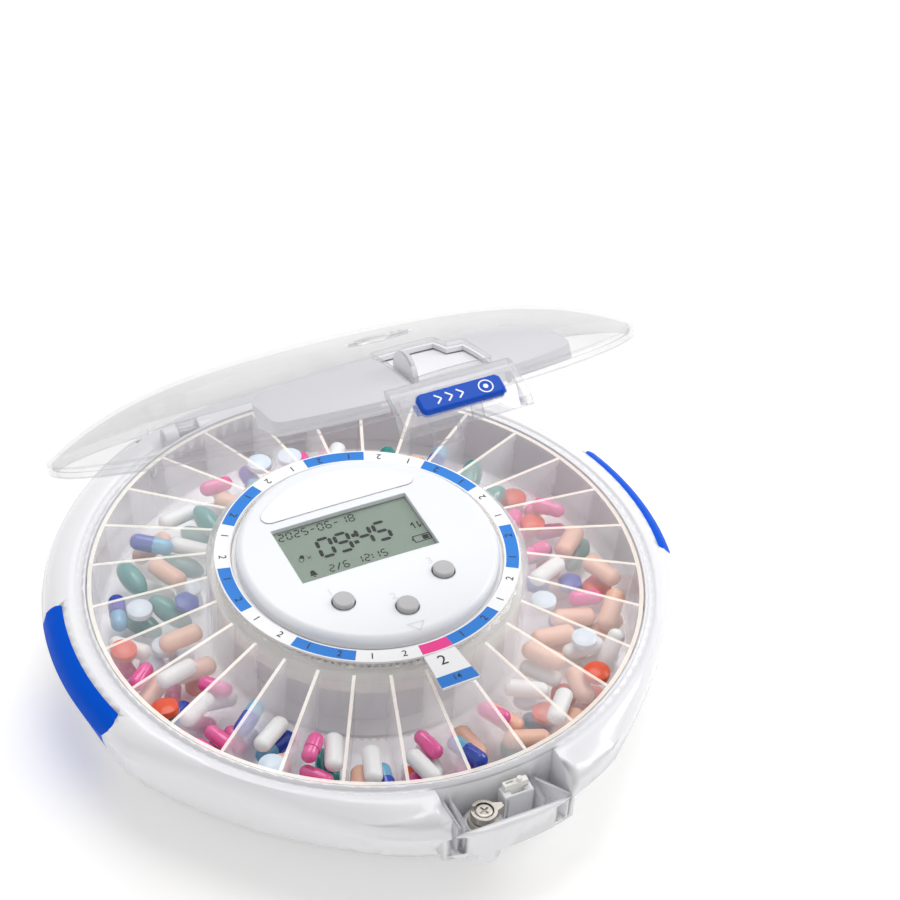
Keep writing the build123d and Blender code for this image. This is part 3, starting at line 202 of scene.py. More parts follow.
def shaped(bm, name, body, finishes, sharp=40.0, outward=True):
    """Finish a mesh under construction as a piece: faces outward, smooth, dressed, riding on its body."""
    if outward:
        bmesh.ops.recalc_face_normals(bm, faces=bm.faces)
    mesh = bpy.data.meshes.new(name)
    bm.to_mesh(mesh)
    bm.free()
    mesh.shade_smooth()
    mesh.set_sharp_from_angle(angle=radians(sharp))
    for finish in finishes:
        mesh.materials.append(finish)
    piece = bpy.data.objects.new(name, mesh)
    bpy.context.collection.objects.link(piece)
    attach(piece, body)
    return piece


def faired(finish, slot, body, *nodes, sharp=32.0):
    """Put smooth skins in place of CAD nodes: the same points, merged, with soft shading between sharp edges."""
    for node in nodes:
        bm = bmesh.new()
        bm.from_mesh(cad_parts[node].data)
        bmesh.ops.remove_doubles(bm, verts=bm.verts, dist=1e-6)
        skin = shaped(bm, node + "_skin", body, [finish], sharp=sharp, outward=False)
        even = skin.modifiers.new("even_shading", "WEIGHTED_NORMAL")
        even.keep_sharp = True
        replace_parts(skin, node)


white_gloss = moulded("white_case", (0.835, 0.835, 0.86), rough=0.24, cloud=0.01, coat=0.3, edge=0.9)
faired(white_gloss, "shell_white", "base", "body_shell", "catch_body")

# ---------------------------------------------------------------- side grips
# Two blue strips let into the sides of the case where the hands hold it, of a softer, duller plastic.
grip_blue = moulded("grip_plastic", (0.0, 0.088, 0.64), rough=0.5, peel=0.10, edge=0, gloss=0.05)
faired(grip_blue, "grip_blue", "base", "left_grip", "right_grip")


# ---------------------------------------------------------------- tray
# The turning tray: a frosty see-through plastic, a little warm. Its thin walls veil what lies behind them,
# and their top edges look like cream lines of gathered light, which is painted: faces that look up are tinted
# cream and cover more.
SHADE_LEFT = 0.06


def sheer(name, colour, veil, veil_edge_on, gloss_rough=0.08, rim_light_colour=None, painted_edge_cover=0.0, edge=0.5,
          scatter=1.4):
    """See-through plastic: colour, how much of it covers what is behind face on and edge on, rims and edges.

    Where two faces meet, the plastic covers more: painted edge light. Faces that look up take the rim colour and
    cover more: painted light along the top edges. Light from above scatters along inside it, so upright walls are
    lit too, and most of the light that falls on it goes through."""
    material, tree, output = node_material(name)
    links = tree.links
    place = tree.nodes.new("ShaderNodeTexCoord")
    facing = tree.nodes.new("ShaderNodeLayerWeight")
    facing.inputs["Blend"].default_value = 0.5
    clear = tree.nodes.new("ShaderNodeBsdfTransparent")
    front = tree.nodes.new("ShaderNodeBsdfDiffuse")
    through = tree.nodes.new("ShaderNodeBsdfTranslucent")
    milk = tree.nodes.new("ShaderNodeAddShader")
    stands = tree.nodes.new("ShaderNodeNewGeometry")
    skyward = tree.nodes.new("ShaderNodeVectorMath")
    skyward.operation = "ADD"
    skyward.inputs[1].default_value = (0.0, 0.0, scatter)
    spread = tree.nodes.new("ShaderNodeVectorMath")
    spread.operation = "NORMALIZE"
    links.new(stands.outputs["Normal"], skyward.inputs[0])
    links.new(skyward.outputs[0], spread.inputs[0])
    links.new(spread.outputs[0], front.inputs["Normal"])
    cloud = tree.nodes.new("ShaderNodeTexNoise")
    cloud.inputs["Scale"].default_value = 45.0
    cloud.inputs["Detail"].default_value = 3.0
    shade = tree.nodes.new("ShaderNodeMix")
    shade.data_type = "RGBA"
    shade.inputs[6].default_value = (*[channel * 0.95 for channel in colour], 1.0)
    shade.inputs[7].default_value = (*colour, 1.0)
    cover = tree.nodes.new("ShaderNodeMapRange")
    cover.inputs["To Min"].default_value = veil
    cover.inputs["To Max"].default_value = veil_edge_on
    body = tree.nodes.new("ShaderNodeMixShader")
    links.new(place.outputs["Object"], cloud.inputs["Vector"])
    links.new(cloud.outputs["Fac"], shade.inputs[0])
    links.new(facing.outputs["Facing"], cover.inputs["Value"])
    colour_out, cover_out = shade.outputs[2], cover.outputs["Result"]
    # Painted light: faces that look up are tinted with the rim colour and cover more, a painted glow along the top
    # edges.
    if rim_light_colour:
        where = tree.nodes.new("ShaderNodeNewGeometry")
        parts = tree.nodes.new("ShaderNodeSeparateXYZ")
        rim = tree.nodes.new("ShaderNodeMapRange")
        rim.inputs["From Min"].default_value = 0.80
        rim.inputs["From Max"].default_value = 0.95
        most = tree.nodes.new("ShaderNodeMath")
        most.operation = "MAXIMUM"
        rim_light_cover = tree.nodes.new("ShaderNodeMath")
        rim_light_cover.operation = "MULTIPLY"
        rim_light_cover.inputs[1].default_value = 0.7
        rim_light_tint = tree.nodes.new("ShaderNodeMix")
        rim_light_tint.data_type = "RGBA"
        rim_light_tint.inputs[7].default_value = (*rim_light_colour, 1.0)
        links.new(where.outputs["Normal"], parts.inputs[0])
        links.new(parts.outputs["Z"], rim.inputs["Value"])
        links.new(rim.outputs["Result"], rim_light_cover.inputs[0])
        links.new(cover_out, most.inputs[0])
        links.new(rim_light_cover.outputs[0], most.inputs[1])
        links.new(rim.outputs["Result"], rim_light_tint.inputs[0])
        links.new(colour_out, rim_light_tint.inputs[6])
        colour_out, cover_out = rim_light_tint.outputs[2], most.outputs[0]
    # Painted edge light: near a sharp edge the plastic covers more, so its edges show as painted lines.
    if painted_edge_cover:
        here = tree.nodes.new("ShaderNodeNewGeometry")
        rounding = tree.nodes.new("ShaderNodeBevel")
        rounding.samples = 4
        rounding.inputs["Radius"].default_value = edge * MM
        agree = tree.nodes.new("ShaderNodeVectorMath")
        agree.operation = "DOT_PRODUCT"
        bend = tree.nodes.new("ShaderNodeMapRange")
        bend.inputs["From Min"].default_value = 0.995
        bend.inputs["From Max"].default_value = 0.86
        bend.inputs["To Max"].default_value = painted_edge_cover
        cover_with_edge_light = tree.nodes.new("ShaderNodeMath")
        cover_with_edge_light.operation = "MAXIMUM"
        links.new(here.outputs["Normal"], agree.inputs[0])
        links.new(rounding.outputs[0], agree.inputs[1])
        links.new(agree.outputs["Value"], bend.inputs["Value"])
        links.new(cover_out, cover_with_edge_light.inputs[0])
        links.new(bend.outputs["Result"], cover_with_edge_light.inputs[1])
        cover_out = cover_with_edge_light.outputs[0]
    path = tree.nodes.new("ShaderNodeLightPath")
    lighting = tree.nodes.new("ShaderNodeMath")
    lighting.operation = "MAXIMUM"
    lets_through = tree.nodes.new("ShaderNodeMapRange")
    lets_through.inputs["To Min"].default_value = 1.0
    lets_through.inputs["To Max"].default_value = SHADE_LEFT
    shade_of_it = tree.nodes.new("ShaderNodeMath")
    shade_of_it.operation = "MULTIPLY"
    links.new(path.outputs["Is Shadow Ray"], lighting.inputs[0])
    links.new(path.outputs["Is Diffuse Ray"], lighting.inputs[1])
    links.new(lighting.outputs[0], lets_through.inputs["Value"])
    links.new(cover_out, shade_of_it.inputs[0])
    links.new(lets_through.outputs["Result"], shade_of_it.inputs[1])
    cover_out = shade_of_it.outputs[0]
    links.new(colour_out, front.inputs["Color"])
    links.new(colour_out, through.inputs["Color"])
    links.new(front.outputs[0], milk.inputs[0])
    links.new(through.outputs[0], milk.inputs[1])
    links.new(cover_out, body.inputs[0])
    links.new(clear.outputs[0], body.inputs[1])
    links.new(milk.outputs[0], body.inputs[2])
    gloss = tree.nodes.new("ShaderNodeBsdfGlossy")
    gloss.inputs["Roughness"].default_value = gloss_rough
    fifth = tree.nodes.new("ShaderNodeMath")
    fifth.operation = "POWER"
    fifth.inputs[1].default_value = 5.0
    mirror = tree.nodes.new("ShaderNodeMath")
    mirror.operation = "MULTIPLY_ADD"
    mirror.inputs[1].default_value = 0.85
    mirror.inputs[2].default_value = 0.04
    side = tree.nodes.new("ShaderNodeNewGeometry")
    outside = tree.nodes.new("ShaderNodeMath")
    outside.operation = "SUBTRACT"
    outside.inputs[0].default_value = 1.0
    shown = tree.nodes.new("ShaderNodeMath")
    shown.operation = "MULTIPLY"
    reflected = tree.nodes.new("ShaderNodeMath")
    reflected.operation = "MULTIPLY"
    shine = tree.nodes.new("ShaderNodeMixShader")
    links.new(facing.outputs["Facing"], fifth.inputs[0])
    links.new(fifth.outputs[0], mirror.inputs[0])
    links.new(side.outputs["Backfacing"], outside.inputs[1])
    links.new(mirror.outputs[0], shown.inputs[0])
    links.new(outside.outputs[0], shown.inputs[1])
    links.new(shown.outputs[0], reflected.inputs[0])
    links.new(lets_through.outputs["Result"], reflected.inputs[1])
    links.new(reflected.outputs[0], shine.inputs[0])
    links.new(body.outputs[0], shine.inputs[1])
    links.new(gloss.outputs[0], shine.inputs[2])
    links.new(shine.outputs[0], output.inputs["Surface"])
    return material


# The cream of the painted light along the tray walls' top edges.
CREAM_RIM_LIGHT = (0.76, 0.74, 0.66)
tray_walls = sheer("tray_walls", (0.80, 0.79, 0.80), 0.09, 0.28, rim_light_colour=CREAM_RIM_LIGHT)
tray_base = sheer("tray_base", (0.80, 0.79, 0.80), 0.45, 0.60)
faired(tray_walls, "tray_clear", "tray", "tray_outer_wall", "tray_hub_wall")
dress(tray_walls, "tray_dividers")
dress(tray_base, "tray_floor")
bpy.context.scene.cycles.transparent_max_bounces = 40


# ---------------------------------------------------------------- sample doses
# Caplets, softgels, two-part capsules and tablets, each lying where its CAD solid lies. The long ones are
# turned about the line between their tips, the tablets about their thin way.
def loose_solids(node):
    """Corner points of each separate solid of a CAD node, always in the same order."""
    bm = bmesh.new()
    bm.from_mesh(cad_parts[node].data)
    bmesh.ops.remove_doubles(bm, verts=bm.verts, dist=1e-6)
    bm.verts.ensure_lookup_table()
    waiting, solids = [True] * len(bm.verts), []
    for first in range(len(bm.verts)):
        if not waiting[first]:
            continue
        waiting[first] = False
        todo, solid = [first], []
        while todo:
            corner = bm.verts[todo.pop()]
            solid.append(tuple(corner.co))
            for edge in corner.link_edges:
                other = edge.other_vert(corner).index
                if waiting[other]:
                    waiting[other] = False
                    todo.append(other)
        solids.append(np.array(solid))
    bm.free()
    return sorted(solids, key=lambda solid: tuple(solid.mean(0).round(5)))


def pill_place(solid, long):
    """Matrix that lays a pill made along X, or a tablet made flat, where a CAD solid lies."""
    if long:
        gaps = ((solid[:, None] - solid[None]) ** 2).sum(2)
        tip, tail = divmod(int(gaps.argmax()), len(solid))
        along = Vector(solid[tip] - solid[tail]).normalized()
        centre = Vector(solid[tip] + solid[tail]) / 2
        side = Vector((0, 0, 1)).cross(along).normalized()
        flat = along.cross(side)
    else:
        centre = Vector((solid.min(0) + solid.max(0)) / 2)
        flat = Vector(np.linalg.eigh(np.cov(solid.T))[1][:, 0])
        flat = flat if flat.z > 0 else -flat
        along = flat.orthogonal().normalized()
        side = flat.cross(along)
    return Matrix.Translation(centre) @ Matrix((along, side, flat)).transposed().to_4x4()


def turned(bm, profile, steps, place, sweep=1.0, flip=False):
    """Add a body turned about its own X axis from (along, radius) points in mm; sweep squashes its height."""
    rows = []
    for along, radius in profile:
        if radius < 1e-6:
            rows.append([bm.verts.new(place @ (Vector((along, 0, 0)) * MM))])
            continue
        rows.append([bm.verts.new(place @ (Vector((along, radius * cos(2 * pi * step / steps),
                                                   radius * sweep * sin(2 * pi * step / steps))) * MM))
                     for step in range(steps)])
    faces = []
    for one, two in zip(rows, rows[1:]):
        for step in range(steps):
            after = (step + 1) % steps
            ring = [one[step % len(one)], two[step % len(two)], two[after % len(two)], one[after % len(one)]]
            corners = list(dict.fromkeys(ring))
            faces.append(bm.faces.new(corners[::-1] if flip else corners))
    return faces


def rounded_end(reach, radius, share=1.0, steps=7):
    """Profile points of a domed end that comes to its tip at the reach."""
    return [(reach - radius * share * (1 - sin(pi / 2 * step / steps)), radius * cos(pi / 2 * step / steps))
            for step in range(steps)] + [(reach, 0.0)]


def caplet(length, width, thick):
    """Oblong caplet: domed ends and a body a little thinner than it is wide."""
    end = rounded_end(length / 2, width / 2, 0.85)
    return [(-along, radius) for along, radius in reversed(end)] + end, thick / width


CAPLETS = {
    "pill_caplets_white": (16.3, 6.5, 5.6, "pill_white", (0.91, 0.91, 0.90)),
    "pill_caplets_peach": (16.8, 7.3, 6.2, "pill_peach", (0.88, 0.53, 0.40)),
    "pill_softgels_teal": (18.3, 8.5, 8.5, "pill_teal", (0.0, 0.28, 0.25)),
}
for node, (length, width, thick, slot, colour) in CAPLETS.items():
    gel = node == "pill_softgels_teal"
    profile, sweep = caplet(length, width, thick)
    if gel:
        profile = [(-length / 2 * cos(pi * step / 16), width / 2 * sin(pi * step / 16)) for step in range(17)]
        profile[0], profile[-1] = (-length / 2, 0.0), (length / 2, 0.0)
    bm = bmesh.new()
    for solid in loose_solids(node):
        turned(bm, profile, 24, pill_place(solid, True), sweep)
    finish = moulded(node, colour, rough=0.12 if gel else 0.4, peel=0.0 if gel else 0.2, cloud=0.06,
                     coat=0.8 if gel else 0.1, edge=0)
    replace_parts(shaped(bm, node + "_finish", "tray", [finish]), node)

CAPSULES = {
    "pill_capsules_blue": (16.8, 6.5, "pill_blue", (0.0, 0.04, 0.42), (0.14, 0.46, 0.69)),
    "pill_capsules_pink": (12.8, 5.9, "pill_pink", (0.83, 0.09, 0.34), (0.84, 0.12, 0.37)),
}
for node, (length, width, slot, cap_colour, body_colour) in CAPSULES.items():
    cap = [(-1.0, width / 2 - 0.25), (-0.9, width / 2)] + rounded_end(length / 2, width / 2)
    stem = [(0.5, width / 2 - 0.3)] + [(along, radius)
                                       for along, radius in rounded_end(length / 2, width / 2 - 0.18)]
    bm = bmesh.new()
    for solid in loose_solids(node):
        place = pill_place(solid, True)
        turned(bm, cap, 24, place)
        for face in turned(bm, [(-along, radius) for along, radius in stem], 24, place, flip=True):
            face.material_index = 1
    halves = [moulded(node + part, colour, rough=0.16, peel=0.0, cloud=0.04, coat=0.6, edge=0)
              for part, colour in (("_cap", cap_colour), ("_stem", body_colour))]
    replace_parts(shaped(bm, node + "_finish", "tray", halves), node)

TABLETS = {
    "pill_tablets_orange": (9.5, 4.7, 32, "pill_orange", (0.80, 0.075, 0.012)),
    "pill_tablets_pale": (9.3, 4.3, 32, "pill_pale", (0.72, 0.82, 0.91)),
    "pill_tablets_blue": (9.6, 4.3, 6, "pill_blue", (0.01, 0.07, 0.42)),
}
upright = Matrix(((0, 0, 1, 0), (0, 1, 0, 0), (-1, 0, 0, 0), (0, 0, 0, 1))).transposed()
for node, (width, thick, sides, slot, colour) in TABLETS.items():
    half, rim = width / 2, thick * 0.24
    crown = [(thick / 2 * (1 - (share ** 2.4) * 0.48), half * share * 0.97) for share in (0.0, 0.3, 0.55, 0.75, 0.9)]
    edge = [(rim + 0.12, half * 0.985), (rim - 0.1, half)]
    profile = crown + edge
    profile = profile + [(-along, radius) for along, radius in reversed(profile)]
    bm = bmesh.new()
    for solid in loose_solids(node):
        turned(bm, profile, sides, pill_place(solid, False) @ upright)
    finish = moulded(node, colour, rough=0.34, peel=0.15, cloud=0.05, coat=0.25, edge=0.5 if sides == 6 else 0)
    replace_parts(shaped(bm, node + "_finish", "tray", [finish]), node)

# ---------------------------------------------------------------- dosage ring
# A printed card ring that lies on the tray's hub: fields of two doses each, white and blue in turn, a pink
# home field, and a tab that reaches over the first compartment. The figures are printed in black.
RING_MIDDLE, RING_TOP, PITCH, HOME_EDGE, DOSES = 52.2, 54.0, 360 / 29, -94.4, 28
card_white = moulded("card_white", (0.90, 0.90, 0.91), rough=0.45, edge=0)
card_blue = moulded("card_blue", (0.030, 0.215, 0.67), rough=0.45, edge=0, gloss=0.2)
card_pink = moulded("card_pink", (0.86, 0.055, 0.29), rough=0.45, edge=0, gloss=0.2)
dress(card_white, "dosage_ring", "dosage_tab")
dress(card_blue, "dosage_fields_blue")
dress(card_pink, "dosage_field_home")


def figure(bm, text, size, place):
    """Add printed figures, flat and centred, to a mesh under construction."""
    curve = bpy.data.curves.new("figure", "FONT")
    curve.body = text
    curve.size = size * MM
    curve.align_x = "CENTER"
    curve.align_y = "CENTER"
    curve.resolution_u = 4
    curve.offset = 0.03 * MM
    holder = bpy.data.objects.new("figure", curve)
    flat = bpy.data.meshes.new_from_object(holder)
    flat.transform(place)
    bm.from_mesh(flat)
    bpy.data.objects.remove(holder)
    bpy.data.curves.remove(curve)
    bpy.data.meshes.remove(flat)


def facing_out(angle, radius, height):
    """Place on the ring at an angle, with the figures' tops towards the middle."""
    return Matrix.Rotation(radians(angle + 90), 4, "Z") @ Matrix.Translation((0, -radius * MM, height * MM))


bm = bmesh.new()
for dose in range(1, DOSES + 1):
    angle = HOME_EDGE + PITCH * (dose + 0.5)
    figure(bm, str(2 - dose % 2), 3.9, facing_out(angle, RING_MIDDLE, RING_TOP + 0.05))
home_angle = HOME_EDGE + PITCH / 2
figure(bm, "2", 6.4, facing_out(home_angle - 0.8, 59.4, RING_TOP + 0.05))
figure(bm, "14", 3.4, facing_out(home_angle, 68.3, RING_TOP + 0.05))
print_black = moulded("print_black", (0.012, 0.012, 0.014), rough=0.5, edge=0)
shaped(bm, "dose_figures", "tray", [print_black], outward=False)

# ---------------------------------------------------------------- display
# A grey-green liquid crystal display under a clear window. Its segments are dark bars with small gaps and
# lean a little; the figures here are an example of a date, a time and a count.
DISPLAY_Z = 55.55
WINDOW_MIDDLE, WINDOW_SIZE = (-2.8, 5.3), (53.4, 29.1)
LIT = {"0": "abcdef", "1": "bc", "2": "abged", "3": "abgcd", "4": "fgbc", "5": "afgcd", "6": "afgedc", "7": "abc",
       "8": "abcdefg", "9": "abcdfg", "-": "g"}
display_glass = moulded("display_glass", (0.222, 0.285, 0.235), rough=0.45, peel=0.0, cloud=0.03, edge=0, gloss=0.2)
dress(display_glass, "display_module")
dress(sheer("display_window", (0.8, 0.8, 0.8), 0.0, 0.05, gloss_rough=0.04), "display_lens")


def flat_shape(bm, outline, height):
    """Add a flat face from (x, y) points in mm, facing up."""
    face = bm.faces.new([bm.verts.new(Vector((x, y, height)) * MM) for x, y in outline])
    face.normal_update()
    if face.normal.z < 0:
        face.normal_flip()
    return face


def stroke(bm, start, end, width, height, pointed=False):
    """Add a flat bar between two points; a pointed one tapers at both ends like a display's segment."""
    along = (Vector(end) - Vector(start)).normalized()
    side = Vector((-along.y, along.x)) * width / 2
    start, end = Vector(start), Vector(end)
    tip = along * width / 2 if pointed else Vector((0, 0))
    outline = [start, start + tip + side, end - tip + side, end, end - tip - side, start + tip - side]
    if not pointed:
        outline = [start + side, end + side, end - side, start - side]
    flat_shape(bm, outline, height)


def readout(bm, text, left, low, size, gap):
    """Add a row of display characters from its lower left corner, and lean it."""
    width, bar, lean = size * 0.55, size * 0.16, 0.10
    ends = {"a": ((0, 2), (1, 2)), "b": ((1, 2), (1, 1)), "c": ((1, 1), (1, 0)), "d": ((0, 0), (1, 0)),
            "e": ((0, 1), (0, 0)), "f": ((0, 2), (0, 1)), "g": ((0, 1), (1, 1))}
    for character in text:
        if character == ":":
            for up in (0.3, 0.7):
                middle = Vector((left + size * (0.02 + lean * up), low + size * up))
                stroke(bm, middle - Vector((bar * 0.6, 0)), middle + Vector((bar * 0.6, 0)), bar * 1.2, DISPLAY_Z)
            left += gap * 0.7
            continue
        if character == "/":
            stroke(bm, (left, low), (left + width * 1.1, low + size), bar, DISPLAY_Z)
            left += width + gap
            continue
        for letter in LIT[character]:
            points = []
            for across_step, up_step in ends[letter]:
                points.append(Vector((left + across_step * width + up_step * size / 2 * lean,
                                      low + up_step * size / 2)))
            along = (points[1] - points[0]).normalized() * bar * 0.22
            stroke(bm, points[0] + along, points[1] - along, bar, DISPLAY_Z, pointed=True)
        left += width + gap


bm = bmesh.new()
readout(bm, "2025-06-18", -27.6, 15.4, 3.4, 1.2)
readout(bm, "09:45", -16.6, 2.0, 9.0, 2.0)
readout(bm, "2/6", -17.0, -5.8, 3.2, 1.0)
readout(bm, "12:15", -6.2, -5.8, 3.3, 1.15)
for start, end in (((17.2, -4.0), (23.6, -4.0)), ((23.6, -4.0), (23.6, -0.8)), ((23.6, -0.8), (17.2, -0.8)),
                   ((17.2, -0.8), (17.2, -4.0)), ((16.7, -3.0), (16.7, -1.8))):
    stroke(bm, start, end, 0.42, DISPLAY_Z)
stroke(bm, (20.6, -2.4), (23.0, -2.4), 2.2, DISPLAY_Z)
for base, point in (((20.4, 3.0), (20.4, 6.2)), ((22.2, 6.2), (22.2, 3.0))):
    stroke(bm, base, point, 0.5, DISPLAY_Z)
    turn = 1 if point[1] > base[1] else -1
    stroke(bm, point, (point[0] - turn * 1.0, point[1] - turn * 1.3), 0.5, DISPLAY_Z)
flat_shape(bm, [(-23.2 + 1.0 * cos(pi * step / 8), -4.0 + 1.5 * sin(pi * step / 8)) for step in range(9)]
           + [(-24.6, -5.2), (-21.8, -5.2)], DISPLAY_Z)
stroke(bm, (-23.6, -5.7), (-22.8, -5.7), 0.5, DISPLAY_Z)
capsule_turn = radians(62)
for half, fill in ((1, True), (-1, False)):
    rim = []
    for step in range(9):
        swing = capsule_turn + half * 0 + pi * (step / 8 - 0.5) + (0 if half > 0 else pi)
        rim.append((-24.0 + half * 0.9 * cos(capsule_turn) + 0.85 * cos(swing),
                    4.4 + half * 0.9 * sin(capsule_turn) + 0.85 * sin(swing)))
    side = Vector((-sin(capsule_turn), cos(capsule_turn))) * 0.85
    if fill:
        flat_shape(bm, rim + [(-24.0 + side.x, 4.4 + side.y), (-24.0 - side.x, 4.4 - side.y)], DISPLAY_Z)
    else:
        walk = [(-24.0 - side.x * -1, 4.4 + side.y)] + rim + [(-24.0 - side.x, 4.4 - side.y)]
        for one, two in zip(walk, walk[1:]):
            stroke(bm, one, two, 0.28, DISPLAY_Z)
for start, end in (((-21.9, 3.2), (-20.5, 4.6)), ((-21.9, 4.6), (-20.5, 3.2))):
    stroke(bm, start, end, 0.25, DISPLAY_Z)
segment_dark = moulded("segment_dark", (0.008, 0.010, 0.009), rough=0.5, edge=0, gloss=0.1)
shaped(bm, "display_segments", "base", [segment_dark], outward=False)

# ---------------------------------------------------------------- face plate and its marks
# The white plate over the hub: satin, with a smooth raised field above the window that carries nothing, a
# small triangle that points to the home field, and a faint figure beside each button.
face_white = moulded("face_white", (0.82, 0.84, 0.87), rough=0.33, cloud=0.01, edge=0.7)
faired(face_white, "shell_white", "base", "face_plate")
face_bm = bmesh.new()
face_bm.from_mesh(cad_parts["face_plate"].data)
face_surface = BVHTree.FromBMesh(face_bm)
face_bm.free()


def on_face(x, y, lift):
    """Point in metres at a height above the face plate."""
    foot = face_surface.ray_cast(Vector((x, y, 80.0)) * MM, Vector((0, 0, -1)))[0]
    return foot + Vector((0, 0, lift * MM))


FIELD_RADIUS, FIELD_LOW, FIELD_CORNER, FIELD_RISE = 41.2, 23.6, 3.2, 0.35
corner_y = FIELD_LOW + FIELD_CORNER
corner_x = (((FIELD_RADIUS - FIELD_CORNER) ** 2 - corner_y ** 2) ** 0.5)
meet = atan2(corner_y, corner_x)
outline = [(corner_x + FIELD_CORNER * cos(-pi / 2 + (meet + pi / 2) * step / 8),
            corner_y + FIELD_CORNER * sin(-pi / 2 + (meet + pi / 2) * step / 8)) for step in range(9)]
outline += [(FIELD_RADIUS * cos(meet + (pi - 2 * meet) * step / 40),
             FIELD_RADIUS * sin(meet + (pi - 2 * meet) * step / 40)) for step in range(1, 40)]
outline += [(-x, y) for x, y in reversed(outline[:9])]
bm = bmesh.new()
flat_shape(bm, outline, 0.0)
for step in range(-9, 10):
    bmesh.ops.bisect_plane(bm, geom=bm.verts[:] + bm.edges[:] + bm.faces[:],
                           plane_co=Vector((step * 4.4, 0, 0)) * MM, plane_no=(1, 0, 0))
for step in range(1, 5):
    bmesh.ops.bisect_plane(bm, geom=bm.verts[:] + bm.edges[:] + bm.faces[:],
                           plane_co=Vector((0, FIELD_LOW + step * 3.6, 0)) * MM, plane_no=(0, 1, 0))
rim_edges = [edge for edge in bm.edges if edge.is_boundary]
inset = bmesh.ops.inset_region(bm, faces=bm.faces[:], thickness=0.5 * MM, use_even_offset=True)
inner = {corner for face in bm.faces if face not in inset["faces"] for corner in face.verts}
for corner in bm.verts:
    lift = FIELD_RISE if corner in inner else -0.1
    corner.co = on_face(corner.co.x / MM, corner.co.y / MM, lift)
label_white = moulded("label_white", (0.885, 0.89, 0.905), rough=0.22, cloud=0.01, coat=0.2, edge=0)
shaped(bm, "label_field", "base", [label_white], outward=False, sharp=60.0)

# Painted shade: a grey line along the foot of the raised field, where its step falls into shade.
bm = bmesh.new()
edge_shade_line = [Vector(corner) for corner in outline]
for one, two in zip(edge_shade_line, edge_shade_line[1:] + edge_shade_line[:1]):
    stroke(bm, one, two, 0.30, 0.0)
for corner in bm.verts:
    corner.co = on_face(corner.co.x / MM, corner.co.y / MM, 0.05)
edge_shade_grey = moulded("edge_shade_grey", (0.52, 0.525, 0.54), rough=0.35, edge=0)
shaped(bm, "label_edge_shade", "base", [edge_shade_grey], outward=False)

bm = bmesh.new()
marks = (("1", -22.6, -17.2), ("2", -2.8, -27.6), ("3", 16.6, -16.4))
for text, x, y in marks:
    figure(bm, text, 4.6, Matrix.Translation(on_face(x, y, 0.06)))
pointer = [Vector(corner) for corner in ((-4.4, -42.0), (1.8, -42.3), (-1.1, -45.9))]
for one, two in zip(pointer, pointer[1:] + pointer[:1]):
    for step in range(6):
        stroke(bm, one.lerp(two, step / 6), one.lerp(two, (step + 1) / 6), 0.45, 0.0)
        bm.verts.ensure_lookup_table()
        for corner in bm.verts[-4:]:
            corner.co = on_face(corner.co.x / MM, corner.co.y / MM, 0.08)
mark_grey = moulded("mark_grey", (0.70, 0.71, 0.73), rough=0.35, edge=0)
shaped(bm, "face_marks", "base", [mark_grey], outward=False)

# ---------------------------------------------------------------- buttons
# Three grey push buttons: short turned caps with a rounded shoulder and a faintly dished top.
BUTTONS = {"button_left": ("key_left", -20.1, -23.2), "button_middle": ("key_middle", -0.4, -33.8),
           "button_right": ("key_right", 19.0, -22.7)}
button_grey = moulded("button_grey", (0.47, 0.465, 0.47), rough=0.42, peel=0.1, cloud=0.02, edge=0)
CAP_TOP, CAP_RADIUS, CAP_ROUND = 59.3, 3.9, 0.75
for node, (body, x, y) in BUTTONS.items():
    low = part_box(node)[0].z / MM
    profile = [(low, 0.0), (low, CAP_RADIUS - 0.1)]
    profile += [(CAP_TOP - CAP_ROUND * (1 - sin(pi / 2 * step / 6)),
                 CAP_RADIUS - CAP_ROUND * (1 - cos(pi / 2 * step / 6))) for step in range(7)]
    profile += [(CAP_TOP - 0.06, 2.4), (CAP_TOP - 0.12, 1.2), (CAP_TOP - 0.13, 0.0)]
    bm = bmesh.new()
    lay = Matrix.Translation(Vector((x, y, 0)) * MM) @ Matrix.Rotation(-pi / 2, 4, "Y")
    turned(bm, profile, 48, lay)
    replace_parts(shaped(bm, node + "_cap", body, [button_grey]), node)

# ---------------------------------------------------------------- lock and catch
# A nickel-plated cam lock with its cam and screw, and beside it the ivory jaw of the sprung catch.
nickel = moulded("nickel", (0.56, 0.53, 0.48), rough=0.30, peel=0.15, metal=1.0, edge=0.25)
dress(nickel, "lock_barrel", "lock_cam", "lock_screw")
dress(moulded("ivory", (0.87, 0.86, 0.81), rough=0.35), "catch_jaw", "drive_pinion", "drive_ring")

# ---------------------------------------------------------------- lid
# A clear polycarbonate dome. It is nearly invisible face on, and shows by the white gloss of its surface
# and by its brighter edges, which are painted edge light: near an edge the plastic covers more. Under its front
# hangs a white sheet with the dispensing door.
lid_clear = sheer("lid_clear", (0.24, 0.24, 0.255), 0.08, 0.30, gloss_rough=0.03, painted_edge_cover=0.6, edge=1.0)
latch_clear = sheer("latch_clear", (0.27, 0.27, 0.285), 0.12, 0.34, gloss_rough=0.03, painted_edge_cover=0.75, edge=0.9)
faired(lid_clear, "lid_clear", "lid", "lid_dome")
faired(latch_clear, "lid_clear", "lid", "latch_housing", "latch_tabs", "lid_knuckles")
panel_white = moulded("panel_white", (0.76, 0.755, 0.785), rough=0.42, cloud=0.01, edge=0.5)
faired(panel_white, "panel_white", "lid", "lid_panel")
faired(panel_white, "panel_white", "door", "slide_door")

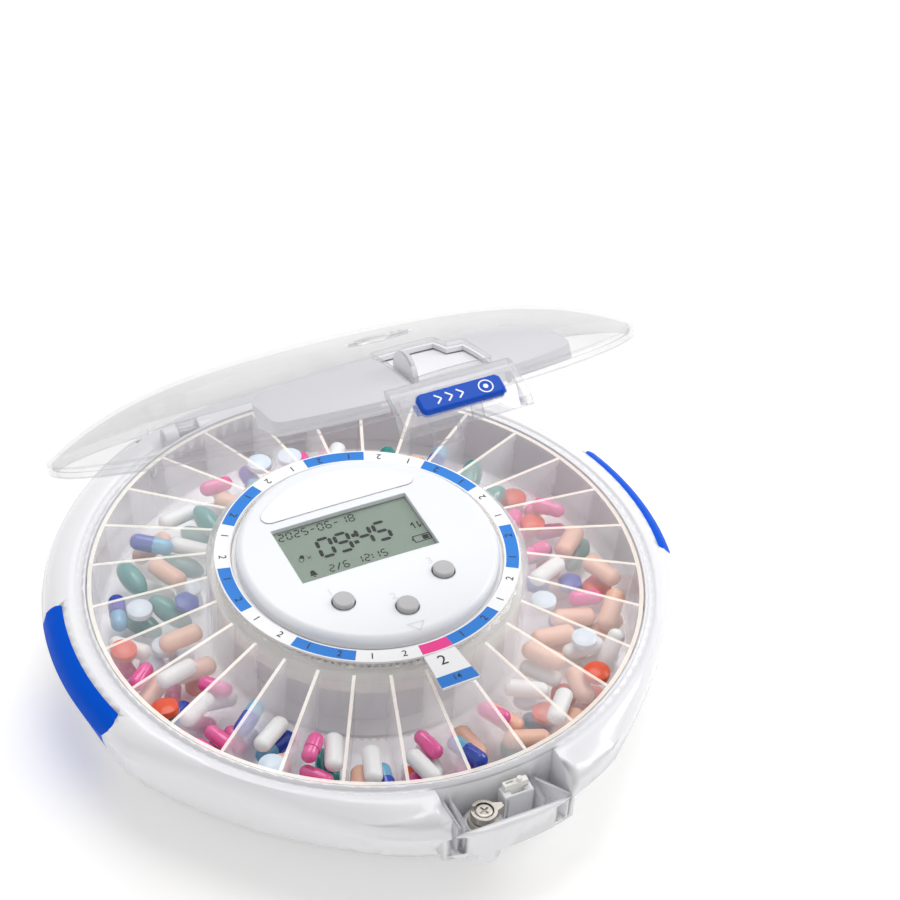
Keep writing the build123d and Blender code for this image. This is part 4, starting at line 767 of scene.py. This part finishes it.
# ---------------------------------------------------------------- press button of the lid
# A blue pad with soft edges, set in the clear housing at the lid's front edge. Its print is three small
# arrowheads that lead to a ring with a dot, in white.
press_blue = moulded("press_blue", (0.010, 0.080, 0.49), rough=0.25, edge=0, gloss=0.10)
faired(press_blue, "press_blue", "press", "press_button", sharp=50.0)
LID_AXIS, LID_OPEN = Vector((0.0, 103.0, 39.0)) * MM, radians(38.0)
PAD_MIDDLE, PAD_OUT, PAD_HALF = Vector((0.0, -109.2, 44.4)), Vector((0.0, -10.4, 8.4)).normalized(), 1.4
right = Vector((1.0, 0.0, 0.0))
pad_plane = Matrix.Translation((PAD_MIDDLE + PAD_OUT * (PAD_HALF + 0.04)) * MM) @ Matrix(
    (right, PAD_OUT.cross(right), PAD_OUT)).transposed().to_4x4()
lifted = Matrix.Translation(LID_AXIS) @ Matrix.Rotation(-LID_OPEN, 4, "X") @ Matrix.Translation(-LID_AXIS)
bm = bmesh.new()
for tip in (-7.0, -3.2, 0.6):
    for end in (-1.7, 1.7):
        stroke(bm, (tip, 0.0), (tip - 1.9, end), 0.55, 0.0)
RING_AT, RING_WIDE, SIDES = 8.4, 2.3, 24
for step in range(SIDES):
    ends = [(RING_AT + RING_WIDE * cos(2 * pi * turn / SIDES), RING_WIDE * sin(2 * pi * turn / SIDES))
            for turn in (step, step + 1)]
    stroke(bm, *ends, 0.45, 0.0)
flat_shape(bm, [(RING_AT + 0.85 * cos(2 * pi * step / SIDES), 0.85 * sin(2 * pi * step / SIDES))
                for step in range(SIDES)], 0.0)
bmesh.ops.transform(bm, matrix=lifted @ pad_plane, verts=bm.verts)
print_white = moulded("print_white", (0.86, 0.87, 0.90), rough=0.4, edge=0)
shaped(bm, "press_print", "press", [print_white], outward=False)

# ---------------------------------------------------------------- underside and inside
# The pan, the bottom cover with its battery door, feet and screws, and the works under the hub.
pan_white = moulded("pan_white", (0.87, 0.87, 0.885), rough=0.30, cloud=0.01, edge=0.6)
faired(pan_white, "shell_white", "base", "tray_pan", "bottom_cover")
dress(pan_white, "battery_door", "hub_column")
steel = moulded("steel", (0.55, 0.55, 0.56), rough=0.35, metal=1.0, edge=0.2)
dress(steel, "hinge_pins", "cover_screws", "gear_motor", "radio_module", "battery_contacts")
dark = moulded("black_plastic", (0.03, 0.03, 0.033), rough=0.5)
dress(dark, "feet", "dc_jack", "buzzer", "battery_cells")
dress(moulded("board_green", (0.03, 0.22, 0.09), rough=0.4), "circuit_board")
